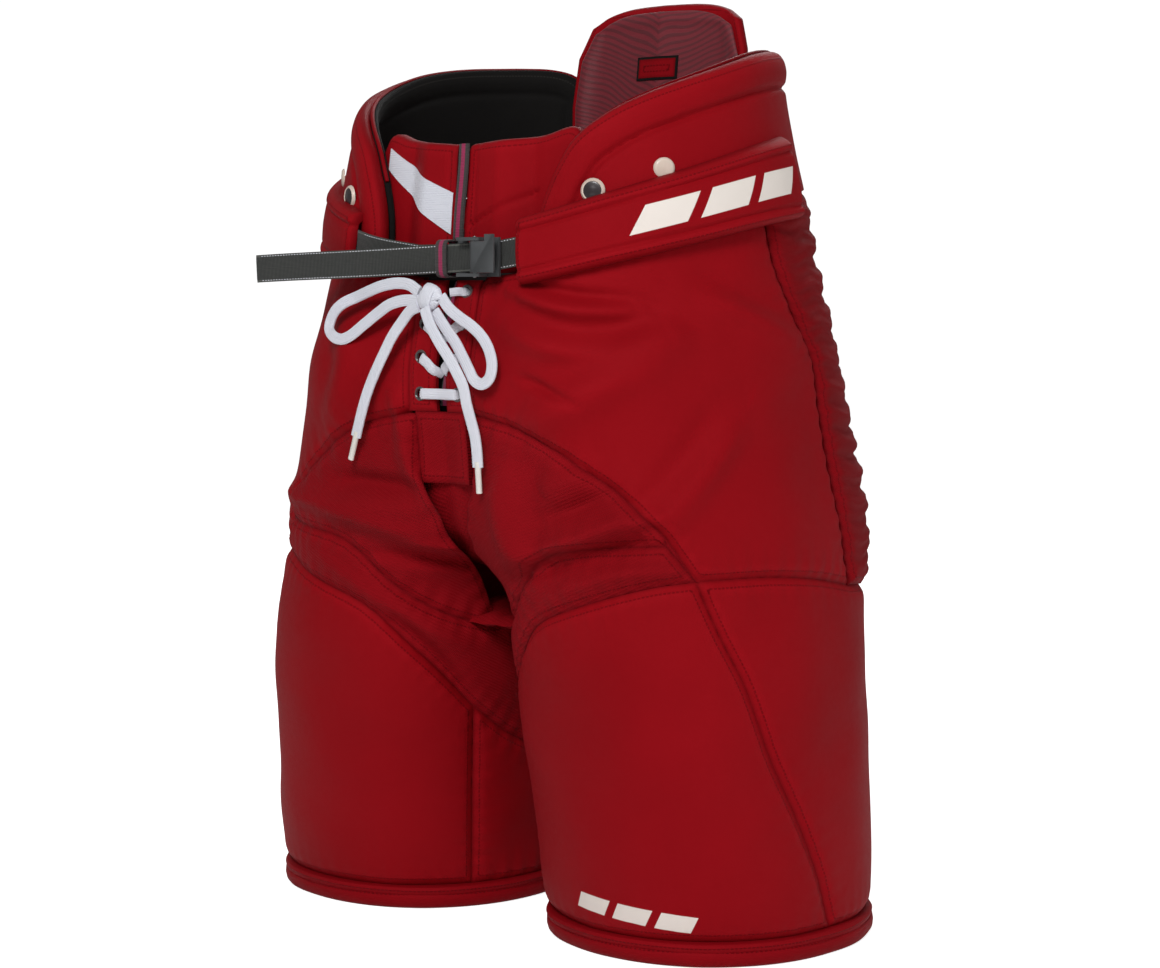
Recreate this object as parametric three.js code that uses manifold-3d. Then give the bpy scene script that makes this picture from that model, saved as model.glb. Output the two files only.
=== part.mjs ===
// Padded ice hockey pants, standing empty on both leg hems.
// Millimetres. +X is the wearer's left, -Y is the front, +Z is up, the floor is z = 0.
//
// Every soft panel lies on one skin surface. At each height the skin of one half of the
// pants is an oval about a vertical leg line. A panel is a patch of that skin, given by
// four seams in (angle, height), with an inner and an outer depth measured from the skin.
// Angle 0 points out to the side, -90 to the front, 90 to the back, 180 to the other leg.
import * as THREE from 'three';
import { mergeVertices } from 'three/addons/utils/BufferGeometryUtils.js';
import Module from 'manifold-3d';

const manifold = await Module();
manifold.setup();

// ---------------------------------------------------------------- driving sizes
const legHeight = 264; // floor to the seam on top of the outer thigh pad
const torsoHeight = 216; // that seam to the middle of the belt at the front
const padHeight = 197; // belt at the front to the top of the spine pad
const hemHeight = 18; // stitched band round each leg opening
const seamGap = 1.6; // clear gap between two panels that meet at a seam
const meshGap = 4; // clear gap round the loose mesh panels
const layerGap = 3; // clear gap between two layers of the wall
const legGap = 5; // half the gap between the two legs at mid thigh

const padThickness = 12; // foam thigh and hip pads with their cover
const meshThickness = 4; // stretch mesh and plain cloth
const gatherThickness = 7; // gathered stretch back
const plasticThickness = 2.4; // moulded guards inside the pads
const liningThickness = 2; // lining cloth
const wingThickness = 11; // kidney pad outer half
const wingLinerThickness = 4; // kidney pad inner half
const bellyThickness = 10; // belly pads behind the fly
const coverThickness = 12; // belt cover, over the belt
const coverLift = 1.2; // underside of the cover above the skin
const coverMargin = 13; // belt cover past the edge of the webbing, at its front end
const coverMarginBack = 19; // and at its back end

const beltWidth = 20; // webbing
const beltThickness = 1.8;
const beltLift = 3; // underside of the webbing above the skin
const beltClearance = 1.2; // webbing to the wall of its tunnel
const keeperWidth = 10;
const strapClearance = 1.1; // webbing to the cheeks of the buckle
const buckleWall = 2.4;
const buckleWidth = 36;
const buckleHeight = beltWidth + 2 * (strapClearance + buckleWall);
const buckleDepth = 8;
const buckleFloor = 2.2;
const leverBarrelRadius = 3.4;
const leverPlate = 1.8;
const pinRadius = 1.2;
const runningClearance = 0.35; // every moving fit
const tailLength = 196;

const eyeletShares = [0.9125, 0.666, 0.4145, 0.1355]; // heights, as shares of the fly flaps
const eyeletReach = 17; // from the middle of the fly
const eyeletHole = 3.4; // hole radius
const boxHalfWidth = 20; // half of the scalloped patch under the fly
const crotchSplit = 7; // half of the split between the two front mesh panels
const slitHalfWidth = 4.5; // half of the open slit between the two fly flaps
const flyHalfWidth = 27; // half of the width of the fly flaps
const laceRadius = 1.9;
const lacingRadius = 1.3;
const agletRadius = 1.7;
const agletLength = 18;

const snapRadius = 7.5;
const snapHeight = 3;
const snapRise = 24; // above the edge of the webbing

// ---------------------------------------------------------------- heights
const waist = legHeight + torsoHeight;
const top = waist + padHeight;
const onLeg = (share) => legHeight * share;
const onTorso = (share) => legHeight + torsoHeight * share;
const onPads = (share) => waist + padHeight * share;

// One half of the pants at each height: the leg line (x, y), how far the skin stands from
// it outwards, inwards, forwards and backwards, and how square the oval is.
const sections = [
  { z: 0, x: 130, y: 4, out: 114, inner: 112, front: 118, back: 116, square: 2.1, corner: 2.05 },
  { z: onLeg(0.38), x: 125, y: -2, out: 115, inner: 112, front: 124, back: 124, square: 2.15, corner: 2.05 },
  { z: onLeg(0.76), x: 117, y: -7, out: 115, inner: 117 - legGap, front: 131, back: 132, square: 2.3, corner: 2.05 },
  { z: onLeg(0.945), x: 108, y: -3, out: 118, inner: 108 - legGap / 2, front: 138, back: 140, square: 2.45, corner: 2 },
  { z: onTorso(0.12), x: 101, y: 1, out: 120, inner: 160, front: 146, back: 146, square: 2.5, corner: 1.95 },
  { z: onTorso(0.35), x: 92, y: 4, out: 121, inner: 200, front: 148, back: 142, square: 2.4, corner: 1.78 },
  { z: onTorso(0.63), x: 80, y: 5, out: 122, inner: 240, front: 151, back: 138, square: 2.3, corner: 1.8 },
  { z: onTorso(0.815), x: 70, y: 7, out: 124, inner: 250, front: 145, back: 134, square: 2.2, corner: 1.8 },
  { z: onTorso(1), x: 60, y: 7, out: 125, inner: 260, front: 135, back: 130, square: 2.15, corner: 2 },
  { z: onPads(0.2), x: 58, y: 7, out: 121, inner: 260, front: 131, back: 132, square: 2, corner: 2 },
  { z: onPads(0.41), x: 56, y: 7, out: 114, inner: 260, front: 128, back: 137, square: 1.85, corner: 2 },
  { z: onPads(0.61), x: 54, y: 7, out: 108, inner: 260, front: 124, back: 142, square: 1.75, corner: 2 },
  { z: onPads(0.81), x: 54, y: 7, out: 105, inner: 260, front: 122, back: 147, square: 1.7, corner: 2 },
  { z: onPads(1), x: 54, y: 7, out: 104, inner: 260, front: 122, back: 151, square: 1.7, corner: 2 },
];

// ---------------------------------------------------------------- the skin
function sectionAt(z) {
  let i = 0;
  while (i < sections.length - 2 && z > sections[i + 1].z) i += 1;
  const a = sections[i];
  const b = sections[i + 1];
  const before = sections[Math.max(i - 1, 0)];
  const after = sections[Math.min(i + 2, sections.length - 1)];
  const step = b.z - a.z;
  const t = Math.min(Math.max((z - a.z) / step, 0), 1);
  const h = [2 * t ** 3 - 3 * t ** 2 + 1, t ** 3 - 2 * t ** 2 + t, 3 * t ** 2 - 2 * t ** 3, t ** 3 - t ** 2];
  const out = {};
  for (const key of ['x', 'y', 'out', 'inner', 'front', 'back', 'square', 'corner']) {
    const slopeA = ((b[key] - before[key]) / (b.z - before.z)) * step;
    const slopeB = ((after[key] - a[key]) / (after.z - a.z)) * step;
    out[key] = h[0] * a[key] + h[1] * slopeA + h[2] * b[key] + h[3] * slopeB;
  }
  return out;
}

const radians = THREE.MathUtils.degToRad;
const lerp = THREE.MathUtils.lerp;

// A point of the skin, moved out by depth. side is 1 for the wearer's left, -1 for the right.
function skin(side, angle, z, depth) {
  const s = sectionAt(z);
  const c = Math.cos(radians(angle));
  const d = Math.sin(radians(angle));
  const a = (c >= 0 ? s.out : s.inner) + depth;
  const b = (d < 0 ? s.front : s.back) + depth;
  const power = c > 0 && d < 0 ? s.corner : s.square;
  const r = (Math.abs(c / a) ** power + Math.abs(d / b) ** power) ** (-1 / power);
  return new THREE.Vector3(side * (s.x + r * c), s.y + r * d, z);
}

// The angle at which the skin crosses the upright plane at |x|, at the front or the back.
function angleAt(x, z, facing) {
  const s = sectionAt(z);
  const reach = s.inner * 0.999;
  const share = Math.min(Math.abs(s.x - x) / reach, 1);
  const depth = facing < 0 ? s.front : s.back;
  const y = depth * (1 - share ** s.square) ** (1 / s.square);
  return THREE.MathUtils.radToDeg(Math.atan2(facing * y, x - s.x));
}

// A point near the middle of the front or the back, given by x instead of an angle.
function middle(x, z, facing, depth) {
  const at = skin(1, angleAt(Math.abs(x), z, facing), z, depth);
  return new THREE.Vector3(x, at.y, z);
}

// ---------------------------------------------------------------- seams
// A seam is a row of [angle, height] points, joined by straight lines in that chart.
const millimetresPerDegree = 2;
function seam(points) {
  const lengths = [0];
  for (let i = 1; i < points.length; i += 1) {
    const across = (points[i][0] - points[i - 1][0]) * millimetresPerDegree;
    const up = points[i][1] - points[i - 1][1];
    lengths.push(lengths[i - 1] + Math.hypot(across, up));
  }
  const total = lengths[lengths.length - 1];
  return (t) => {
    const want = t * total;
    let i = 1;
    while (i < points.length - 1 && lengths[i] < want) i += 1;
    const share = (want - lengths[i - 1]) / (lengths[i] - lengths[i - 1]);
    return [0, 1].map((k) => lerp(points[i - 1][k], points[i][k], share));
  };
}

const thighTop = legHeight;
const beltLine = [[-103, waist], [-84, waist + 7], [-60, waist + 21], [-15, waist + 47],
  [5, waist + 55], [40, waist + 64], [80, waist + 72], [103, waist + 74]];
function beltHeight(angle) {
  let i = 1;
  while (i < beltLine.length - 1 && angle > beltLine[i][0]) i += 1;
  const share = (angle - beltLine[i - 1][0]) / (beltLine[i][0] - beltLine[i - 1][0]);
  return lerp(beltLine[i - 1][1], beltLine[i][1], share);
}
const alongBelt = (from, to, lift, count = 8) => Array.from({ length: count + 1 }, (_, i) => {
  const angle = lerp(from, to, i / count);
  return [angle, beltHeight(angle) + lift];
});
const upright = (x, low, high, facing, count = 5) => Array.from({ length: count + 1 }, (_, i) => {
  const z = lerp(low, high, i / count);
  return [angleAt(x, z, facing), z];
});

const innerFront = -144; // upright seam on the front of the inner thigh
const innerBack = -205; // the same angle as 155: the seam on the back of the inner thigh
const frontSideSeam = [[-6, hemHeight], [-12, 58], [-20, 99], [-29, 142], [-36, 191], [-44, thighTop - 35],
  [-50, thighTop]];
const thighTopFront = [[innerFront, thighTop - 111], [-132, thighTop - 85], [-122, thighTop - 65],
  [-105, thighTop - 35], [-88, thighTop - 20], [-64, thighTop - 4], [-50, thighTop]];
const thighTopSide = [[-50, thighTop], [-24, thighTop], [0, thighTop - 5], [24, thighTop - 14]];
const thighTopBack = [[24, thighTop - 14], [60, thighTop - 21], [100, thighTop - 24],
  [360 + innerBack, thighTop - 28]];
const gussetTop = [[innerBack, thighTop - 139], [-180, thighTop - 149], [-160, thighTop - 135],
  [innerFront, thighTop - 111]];
const bandTop = [[innerBack, thighTop - 21], [-180, thighTop - 20], [-165, thighTop - 25],
  [-152, thighTop - 50], [-142, thighTop - 47], [-125, thighTop - 34], [-112, thighTop - 17],
  [-94, onTorso(0.065)], [-66, onTorso(0.106)], [-58, onTorso(0.111)]];
const boxBottom = onTorso(0.287); // lower edge of the scalloped patch under the fly
const boxTop = onTorso(0.5); // lower edge of the fly flaps
const meshTop = [[angleAt(flyHalfWidth, boxTop, -1), boxTop], [-96, onTorso(0.458)], [-79, onTorso(0.347)],
  [-65, onTorso(0.222)], [-58, onTorso(0.139)], [-50, thighTop]];
const hipBackSeam = [[24, thighTop - 14], [16, onTorso(0.213)], [12, onTorso(0.495)], [12, onTorso(0.653)],
  [6, onTorso(0.769)], [-2, onTorso(0.944)]];
const waistLift = -beltWidth / 2 - 3; // top edge of the hip panels, from the middle of the belt
const bottomEdge = (from, to) => [[from, hemHeight], [to, hemHeight]];

const trimmed = (points, last) => {
  // the points up to the angle last, ending on it
  const kept = points.filter((p) => p[0] < last);
  const next = points[kept.length];
  const before = kept[kept.length - 1];
  const share = (last - before[0]) / (next[0] - before[0]);
  return [...kept, [last, lerp(before[1], next[1], share)]];
};

// ---------------------------------------------------------------- solids
// Two grids of points make a closed sheet: near is the inner grid and far the outer one.
function sheet(columns, rows, near, far, mirrored, closedRound = false) {
  const positions = [];
  const index = [];
  const across = closedRound ? columns : columns + 1;
  for (const grid of [near, far]) {
    for (let j = 0; j <= rows; j += 1) {
      for (let i = 0; i < across; i += 1) {
        positions.push(...grid(i / columns, j / rows).toArray());
      }
    }
  }
  const layer = across * (rows + 1);
  const at = (k, i, j) => k * layer + j * across + (i % across);
  const quad = (a, b, c, d) => {
    if (mirrored) index.push(a, c, b, a, d, c);
    else index.push(a, b, c, a, c, d);
  };
  for (let j = 0; j < rows; j += 1) {
    for (let i = 0; i < columns; i += 1) {
      quad(at(1, i, j), at(1, i + 1, j), at(1, i + 1, j + 1), at(1, i, j + 1));
      quad(at(0, i, j), at(0, i, j + 1), at(0, i + 1, j + 1), at(0, i + 1, j));
    }
  }
  for (let i = 0; i < columns; i += 1) {
    quad(at(0, i, 0), at(0, i + 1, 0), at(1, i + 1, 0), at(1, i, 0));
    quad(at(1, i, rows), at(1, i + 1, rows), at(0, i + 1, rows), at(0, i, rows));
  }
  if (!closedRound) {
    for (let j = 0; j < rows; j += 1) {
      quad(at(0, 0, j), at(1, 0, j), at(1, 0, j + 1), at(0, 0, j + 1));
      quad(at(1, columns, j), at(0, columns, j), at(0, columns, j + 1), at(1, columns, j + 1));
    }
  }
  const geometry = new THREE.BufferGeometry();
  geometry.setAttribute('position', new THREE.Float32BufferAttribute(positions, 3));
  geometry.setIndex(index);
  return geometry;
}

// A patch of skin between four seams, blended between them, less half a seam gap all round.
function patch(side, { bottom, top: upper, left, right, columns, rows, inside, outside, gap = seamGap }) {
  const [b, t, l, r] = [bottom, upper, left, right].map(seam);
  const chart = (u, v) => [0, 1].map((k) => (1 - v) * b(u)[k] + v * t(u)[k] + (1 - u) * l(v)[k] + u * r(v)[k]
    - (1 - u) * (1 - v) * b(0)[k] - u * (1 - v) * b(1)[k] - (1 - u) * v * t(0)[k] - u * v * t(1)[k]);
  const point = (u, v) => skin(side, ...chart(u, v), 0);
  const width = Math.max(point(0, 0.5).distanceTo(point(0.5, 0.5)) + point(0.5, 0.5).distanceTo(point(1, 0.5)), 1);
  const height = point(0.5, 0).distanceTo(point(0.5, 1));
  const insetU = Math.min(gap / 2 / width, 0.3);
  const insetV = Math.min(gap / 2 / height, 0.3);
  const grid = (depth) => (u, v) => {
    const [angle, z] = chart(lerp(insetU, 1 - insetU, u), lerp(insetV, 1 - insetV, v));
    return skin(side, angle, z, typeof depth === 'function' ? depth(angle, z) : depth);
  };
  return sheet(columns, rows, grid(inside), grid(outside), side < 0);
}

// A ring of skin round one leg between two heights.
function legRing(side, low, high, inside, outside, columns, rows) {
  const grid = (depth) => (u, v) => skin(side, u * 360 - 180, lerp(low, high, v), depth);
  return sheet(columns, rows, grid(inside), grid(outside), side < 0, true);
}

// A patch across the middle of the front or the back.
function middlePatch(facing, low, high, left, right, columns, rows, inside, outside) {
  const grid = (depth) => (u, v) => middle(lerp(left, right, u), lerp(low, high, v), facing, depth);
  return sheet(columns, rows, grid(inside), grid(outside), facing > 0);
}

function solid(geometry) {
  const bare = geometry.clone();
  for (const name of Object.keys(bare.attributes)) if (name !== 'position') bare.deleteAttribute(name);
  const merged = mergeVertices(bare, 1e-4);
  return new manifold.Manifold(new manifold.Mesh({
    numProp: 3,
    vertProperties: merged.attributes.position.array,
    triVerts: Uint32Array.from(merged.index.array),
  }));
}

function geometryOf(body) {
  const mesh = body.getMesh();
  const geometry = new THREE.BufferGeometry();
  geometry.setAttribute('position', new THREE.BufferAttribute(mesh.vertProperties, 3));
  geometry.setIndex(new THREE.BufferAttribute(mesh.triVerts, 1));
  return geometry;
}

function cut(geometry, ...tools) {
  return geometryOf(tools.reduce((body, tool) => body.subtract(solid(tool)), solid(geometry)));
}

function joined(geometry, ...others) {
  return geometryOf(others.reduce((body, other) => body.add(solid(other)), solid(geometry)));
}

function boxBetween(low, high) {
  const size = high.map((value, i) => value - low[i]);
  return new THREE.BoxGeometry(...size).translate(...low.map((value, i) => value + size[i] / 2));
}

// A round cord through hand-placed points.
function cord(points, radius, steps, sides = 8) {
  const path = new THREE.CatmullRomCurve3(points.map((p) => new THREE.Vector3(...p)), false, 'centripetal');
  const outline = new THREE.Shape(Array.from({ length: sides }, (_, i) => new THREE.Vector2(
    radius * Math.cos((i / sides) * 2 * Math.PI),
    radius * Math.sin((i / sides) * 2 * Math.PI),
  )));
  return new THREE.ExtrudeGeometry(outline, { steps, bevelEnabled: false, extrudePath: path });
}

// ---------------------------------------------------------------- finishes
const finish = {
  cloth: { color: 0x8c1019, roughness: 0.75, metalness: 0 },
  mesh: { color: 0x7a0c15, roughness: 0.85, metalness: 0 },
  gather: { color: 0x6e0a12, roughness: 0.8, metalness: 0 },
  trim: { color: 0x7d0e16, roughness: 0.7, metalness: 0 },
  liner: { color: 0x1a1a19, roughness: 0.9, metalness: 0 },
  print: { color: 0x8f1c30, roughness: 0.7, metalness: 0 },
  webbing: { color: 0x2f3130, roughness: 0.8, metalness: 0 },
  plastic: { color: 0x26282a, roughness: 0.45, metalness: 0 },
  guard: { color: 0xe6e3dc, roughness: 0.5, metalness: 0 },
  lace: { color: 0xeef0f6, roughness: 0.8, metalness: 0 },
  steel: { color: 0x8d9092, roughness: 0.35, metalness: 0.9 },
};
const group = new THREE.Group();
function add(name, geometry, look, parent = group) {
  const piece = new THREE.Mesh(geometry, new THREE.MeshStandardMaterial(finish[look]));
  piece.name = name;
  parent.add(piece);
  return piece;
}

// ---------------------------------------------------------------- legs
const guardOutside = -padThickness - layerGap;
const guardInside = guardOutside - plasticThickness;
const liningOutside = guardInside - layerGap;
const liningInside = liningOutside - liningThickness;

function leg(name, side) {
  add(`hem_band_${name}`, legRing(side, 0, hemHeight - seamGap / 2, -padThickness, 0, 28, 1), 'trim');
  add(`thigh_front_${name}`, patch(side, {
    bottom: bottomEdge(innerFront, -6), top: thighTopFront, left: [[innerFront, hemHeight], thighTopFront[0]],
    right: frontSideSeam, columns: 9, rows: 6, inside: -padThickness, outside: 0,
  }), 'cloth');
  add(`thigh_side_${name}`, patch(side, {
    bottom: bottomEdge(-6, 360 + innerBack), top: [...thighTopSide, ...thighTopBack.slice(1)],
    left: frontSideSeam, right: [[360 + innerBack, hemHeight], [360 + innerBack, thighTop - 28]],
    columns: 13, rows: 6, inside: -padThickness, outside: 0,
  }), 'cloth');
  add(`inner_gusset_${name}`, patch(side, {
    bottom: bottomEdge(innerBack, innerFront), top: gussetTop,
    left: [[innerBack, hemHeight], gussetTop[0]], right: [[innerFront, hemHeight], gussetTop[3]],
    columns: 5, rows: 4, inside: -meshThickness, outside: 0,
  }), 'cloth');
  add(`thigh_band_${name}`, patch(side, {
    bottom: [...gussetTop, ...thighTopFront.slice(1)], top: bandTop,
    left: [gussetTop[0], bandTop[0]], right: [[-50, thighTop], bandTop[9]],
    columns: 16, rows: 2, inside: -meshThickness, outside: 0,
  }), 'mesh');
  const crotchSide = [bandTop[3], [-140, thighTop - 12],
    ...[[crotchSplit, onTorso(0.093)], [crotchSplit + 2, onTorso(0.167)], [boxHalfWidth, boxBottom],
      [boxHalfWidth, boxTop]].map(([x, z]) => [angleAt(x, z, -1), z])];
  add(`mesh_panel_${name}`, patch(side, {
    bottom: bandTop.slice(3), top: [crotchSide[5], ...meshTop.slice(1, 5)],
    left: crotchSide, right: [bandTop[9], meshTop[4]],
    columns: 10, rows: 5, inside: -meshThickness, outside: 0, gap: meshGap,
  }), 'mesh');
  add(`thigh_guard_${name}`, patch(side, {
    bottom: [[-118, hemHeight + 14], [48, hemHeight + 14]],
    top: [[-112, thighTop - 64], [-88, thighTop - 40], [-50, thighTop - 22], [48, thighTop - 36]],
    left: [[-118, hemHeight + 14], [-112, thighTop - 64]], right: [[48, hemHeight + 14], [48, thighTop - 36]],
    columns: 11, rows: 4, inside: guardInside, outside: guardOutside,
  }), 'guard');
  const liningTop = thighTop - 66;
  add(`leg_lining_${name}`, legRing(side, hemHeight / 2, liningTop, liningInside, liningOutside, 24, 4), 'liner');
}

// ---------------------------------------------------------------- torso
function hip(name, side) {
  const hipFrontTop = angleAt(flyHalfWidth, waist + waistLift, -1);
  add(`hip_panel_${name}`, patch(side, {
    bottom: [...meshTop, ...thighTopSide.slice(1)], top: alongBelt(hipFrontTop, -5, waistLift),
    left: upright(flyHalfWidth, boxTop, beltHeight(hipFrontTop) + waistLift, -1),
    right: [...hipBackSeam, [-5, beltHeight(-5) + waistLift]],
    columns: 14, rows: 6, inside: -padThickness, outside: 0,
  }), 'cloth');
  const backTop = angleAt(45, beltHeight(100) + waistLift, 1);
  add(`hip_back_${name}`, patch(side, {
    bottom: trimmed(thighTopBack, angleAt(45, thighTop - 25, 1)), top: alongBelt(-5, backTop, waistLift),
    left: [...hipBackSeam, [-5, beltHeight(-5) + waistLift]],
    right: upright(45, thighTop - 25, beltHeight(backTop) + waistLift, 1),
    columns: 8, rows: 7, inside: -gatherThickness, outside: 0,
  }), 'gather');
  add(`hip_guard_${name}`, patch(side, {
    bottom: [[-78, thighTop + 92], [-50, thighTop + 52], [10, thighTop + 50]],
    top: [[-78, waist - 40], [-50, waist - 26], [4, waist - 20]],
    left: [[-78, thighTop + 92], [-78, waist - 40]], right: [[10, thighTop + 50], [4, waist - 20]],
    columns: 7, rows: 2, inside: guardInside, outside: guardOutside,
  }), 'guard');
}

// ---------------------------------------------------------------- pads above the belt
const wingTop = [[-80, waist + 56], [-73, waist + 80], [-62, waist + 98], [-48, waist + 112],
  [-20, waist + 130], [10, waist + 144], [45, waist + 150], [72, waist + 148], [80, waist + 136]];
const wingFront = [[-86, beltHeight(-86) - 9], [-84, waist + 33], wingTop[0]];
const bellyDepth = -wingThickness - wingLinerThickness - layerGap; // belly pad behind the kidney pad

function wing(name, side) {
  const shape = {
    bottom: alongBelt(-86, 80, -9), top: wingTop, left: wingFront, right: [[80, beltHeight(80) - 9], wingTop[8]],
  };
  const joint = -0.6 - wingThickness;
  add(`kidney_pad_${name}`, patch(side, {
    ...shape, columns: 13, rows: 4, inside: joint, outside: -0.6,
  }), 'cloth');
  add(`kidney_liner_${name}`, patch(side, {
    ...shape, columns: 13, rows: 4, inside: joint - 0.6 - wingLinerThickness, outside: joint - 0.6,
    gap: 5,
  }), 'liner');
  const depth = (angle) => lerp(-3, bellyDepth, THREE.MathUtils.smoothstep(angle, -102, -90));
  const bellyLow = waist - 10;
  const bellyHigh = waist + 80;
  add(`belly_pad_${name}`, patch(side, {
    bottom: [[angleAt(4, bellyLow, -1), bellyLow], [-70, bellyLow]],
    top: [[angleAt(4, bellyHigh, -1), bellyHigh], [-88, bellyHigh + 5], [-75, bellyHigh + 10], [-70, bellyHigh]],
    left: upright(4, bellyLow, bellyHigh, -1), right: [[-70, bellyLow], [-70, bellyHigh]],
    columns: 8, rows: 3, inside: (angle) => depth(angle) - bellyThickness, outside: depth,
  }), 'cloth');
}

// ---------------------------------------------------------------- belt
const tunnelDepth = beltLift + beltThickness + beltClearance;

// A belt cover is a padded sleeve: a flattened tube swept round the hip with the webbing in it.
function sleeve(side, from, to, columns) {
  const half = beltWidth / 2 + beltClearance;
  const ring = (angle, share) => {
    const reach = beltWidth / 2 + lerp(coverMargin, coverMarginBack, share);
    const z = beltHeight(angle);
    const outer = [[-reach, coverLift], [-reach, coverThickness - 3], [-reach + 5, coverThickness],
      [reach - 5, coverThickness], [reach, coverThickness - 3], [reach, coverLift]];
    const inner = [[-half, beltLift - beltClearance], [-half, tunnelDepth], [-half + 2, tunnelDepth],
      [half - 2, tunnelDepth], [half, tunnelDepth], [half, beltLift - beltClearance]];
    return [inner, outer].map((loop) => loop.map(([lift, depth]) => skin(side, angle, z + lift, depth)));
  };
  const stations = Array.from({ length: columns + 1 }, (_, i) => ring(lerp(from, to, i / columns), i / columns));
  const sides = 6;
  const positions = [];
  const index = [];
  stations.forEach((loops) => loops.forEach((loop) => loop.forEach((p) => positions.push(...p.toArray()))));
  const at = (i, k, s) => (i * 2 + k) * sides + (s % sides);
  const quad = (a, b, c, d) => {
    if (side > 0) index.push(a, b, c, a, c, d);
    else index.push(a, c, b, a, d, c);
  };
  for (let i = 0; i < columns; i += 1) {
    for (let s = 0; s < sides; s += 1) {
      quad(at(i, 1, s), at(i + 1, 1, s), at(i + 1, 1, s + 1), at(i, 1, s + 1));
      quad(at(i, 0, s), at(i, 0, s + 1), at(i + 1, 0, s + 1), at(i + 1, 0, s));
    }
  }
  for (let s = 0; s < sides; s += 1) {
    quad(at(0, 0, s), at(0, 1, s), at(0, 1, s + 1), at(0, 0, s + 1));
    quad(at(columns, 1, s), at(columns, 0, s), at(columns, 0, s + 1), at(columns, 1, s + 1));
  }
  const geometry = new THREE.BufferGeometry();
  geometry.setAttribute('position', new THREE.Float32BufferAttribute(positions, 3));
  geometry.setIndex(index);
  return geometry;
}

// Webbing laid on the skin along the belt line. place(u) gives the point under its middle.
function webbing(place, columns) {
  const grid = (depth) => (u, v) => place(u, lerp(-beltWidth / 2, beltWidth / 2, v), depth);
  return sheet(columns, 1, grid(beltLift), grid(beltLift + beltThickness), false);
}

const buckleX = 31; // middle of the buckle
const frontDepth = beltLift + beltThickness;
const flyY = middle(0, waist, -1, frontDepth).y; // front face of the webbing at the fly
const frontY = middle(buckleX + buckleWidth / 2, waist, -1, frontDepth).y; // and behind the buckle
const buckleFront = frontY - 2;

function belt() {
  add('belt_cover_left', sleeve(1, -89, 12, 12), 'cloth');
  add('belt_cover_right', sleeve(-1, -77, 12, 11), 'cloth');
  const leftStart = angleAt(buckleX + buckleWidth / 2 - 3, waist, -1);
  add('belt_webbing_left', webbing((u, lift, depth) => {
    const angle = lerp(leftStart, 8, u);
    return skin(1, angle, beltHeight(Math.max(angle, -103)) + lift, depth);
  }, 14), 'webbing');
  // the right hand webbing runs on across the fly and ends inside the buckle
  const acrossFly = 0.25;
  const handOver = -flyHalfWidth;
  const handAngle = angleAt(flyHalfWidth, waist, -1);
  add('belt_webbing_right', webbing((u, lift, depth) => {
    if (u > 1 - acrossFly) {
      const share = (u - 1 + acrossFly) / acrossFly;
      return middle(lerp(handOver, buckleX - buckleWidth / 2 + 5, share), waist + lift, -1, depth);
    }
    const angle = lerp(8, handAngle, u / (1 - acrossFly));
    return skin(-1, angle, beltHeight(Math.max(angle, -103)) + lift, depth);
  }, 16), 'webbing');
}

function buckle() {
  const centre = new THREE.Group();
  centre.position.set(buckleX, buckleFront, waist + 1);
  group.add(centre);
  const w = buckleWidth / 2;
  const h = buckleHeight / 2;
  const pinX = 2;
  const pinY = -buckleDepth - 0.5;
  const pinBore = () => new THREE.CylinderGeometry(pinRadius + 0.3, pinRadius + 0.3, buckleHeight * 2, 16)
    .rotateX(Math.PI / 2).translate(pinX, pinY, 0);
  const floor = boxBetween([-w, -buckleFloor, -h], [w, 0, h]);
  const window = boxBetween([-w + 8, -5, -beltWidth / 2 - 1], [w - 8, 5, beltWidth / 2 + 1]);
  const cheek = (z) => boxBetween([-w + 6, pinY - 3.2, z], [w - 10, -1, z + buckleWall]);
  const frame = joined(floor, cheek(-h), cheek(h - buckleWall));
  add('buckle_frame', cut(frame, window, pinBore()), 'plastic', centre);
  // the cam lever: a barrel on the pin with a thumb plate towards the wearer's left
  const inside = h - buckleWall - runningClearance;
  const barrel = new THREE.CylinderGeometry(leverBarrelRadius, leverBarrelRadius, inside * 2, 20)
    .rotateX(Math.PI / 2).translate(pinX, pinY, 0);
  const plate = boxBetween([pinX, pinY - leverBarrelRadius, -inside], [w + 1, pinY - leverBarrelRadius + leverPlate, inside]);
  const tab = boxBetween([w - 5, pinY - leverBarrelRadius, -inside], [w + 3, pinY - leverBarrelRadius + leverPlate, h + 2]);
  add('buckle_lever', cut(joined(barrel, plate, tab), pinBore()), 'plastic', centre);
  add('lever_pin', new THREE.CylinderGeometry(pinRadius, pinRadius, buckleHeight + 1.2, 16)
    .rotateX(Math.PI / 2).translate(pinX, pinY, 0), 'steel', centre);
}

// The free end of the belt lies flat in front of the belt and points to the wearer's right.
const tailReach = buckleX - 4; // the strap end sits under the cam of the buckle
const tailY = buckleFront - buckleFloor - 0.4;
const tailTurn = 0.06; // away from the body
const tailDrop = 0.028; // towards the floor
function tail() {
  const carrier = new THREE.Group();
  carrier.position.set(tailReach, tailY, waist + 1);
  carrier.rotation.set(0, -tailDrop, tailTurn);
  group.add(carrier);
  const strap = boxBetween([-tailLength, -beltThickness, -beltWidth / 2], [0, 0, beltWidth / 2]);
  add('belt_tail', strap, 'webbing', carrier);
}

function keeper() {
  const low = waist - beltWidth / 2 - 2.2;
  const high = waist + beltWidth / 2 + 2.2;
  const left = -keeperWidth / 2 + 2;
  const back = flyY + beltThickness + 1.2;
  const front = tailY - beltThickness - 3.2;
  const outer = boxBetween([left, front - 1, low - 1.2], [left + keeperWidth, back + 1, high + 1.2]);
  const inner = boxBetween([left - 1, front, low], [left + keeperWidth + 1, back, high]);
  add('belt_keeper', cut(outer, inner), 'webbing');
}

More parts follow.
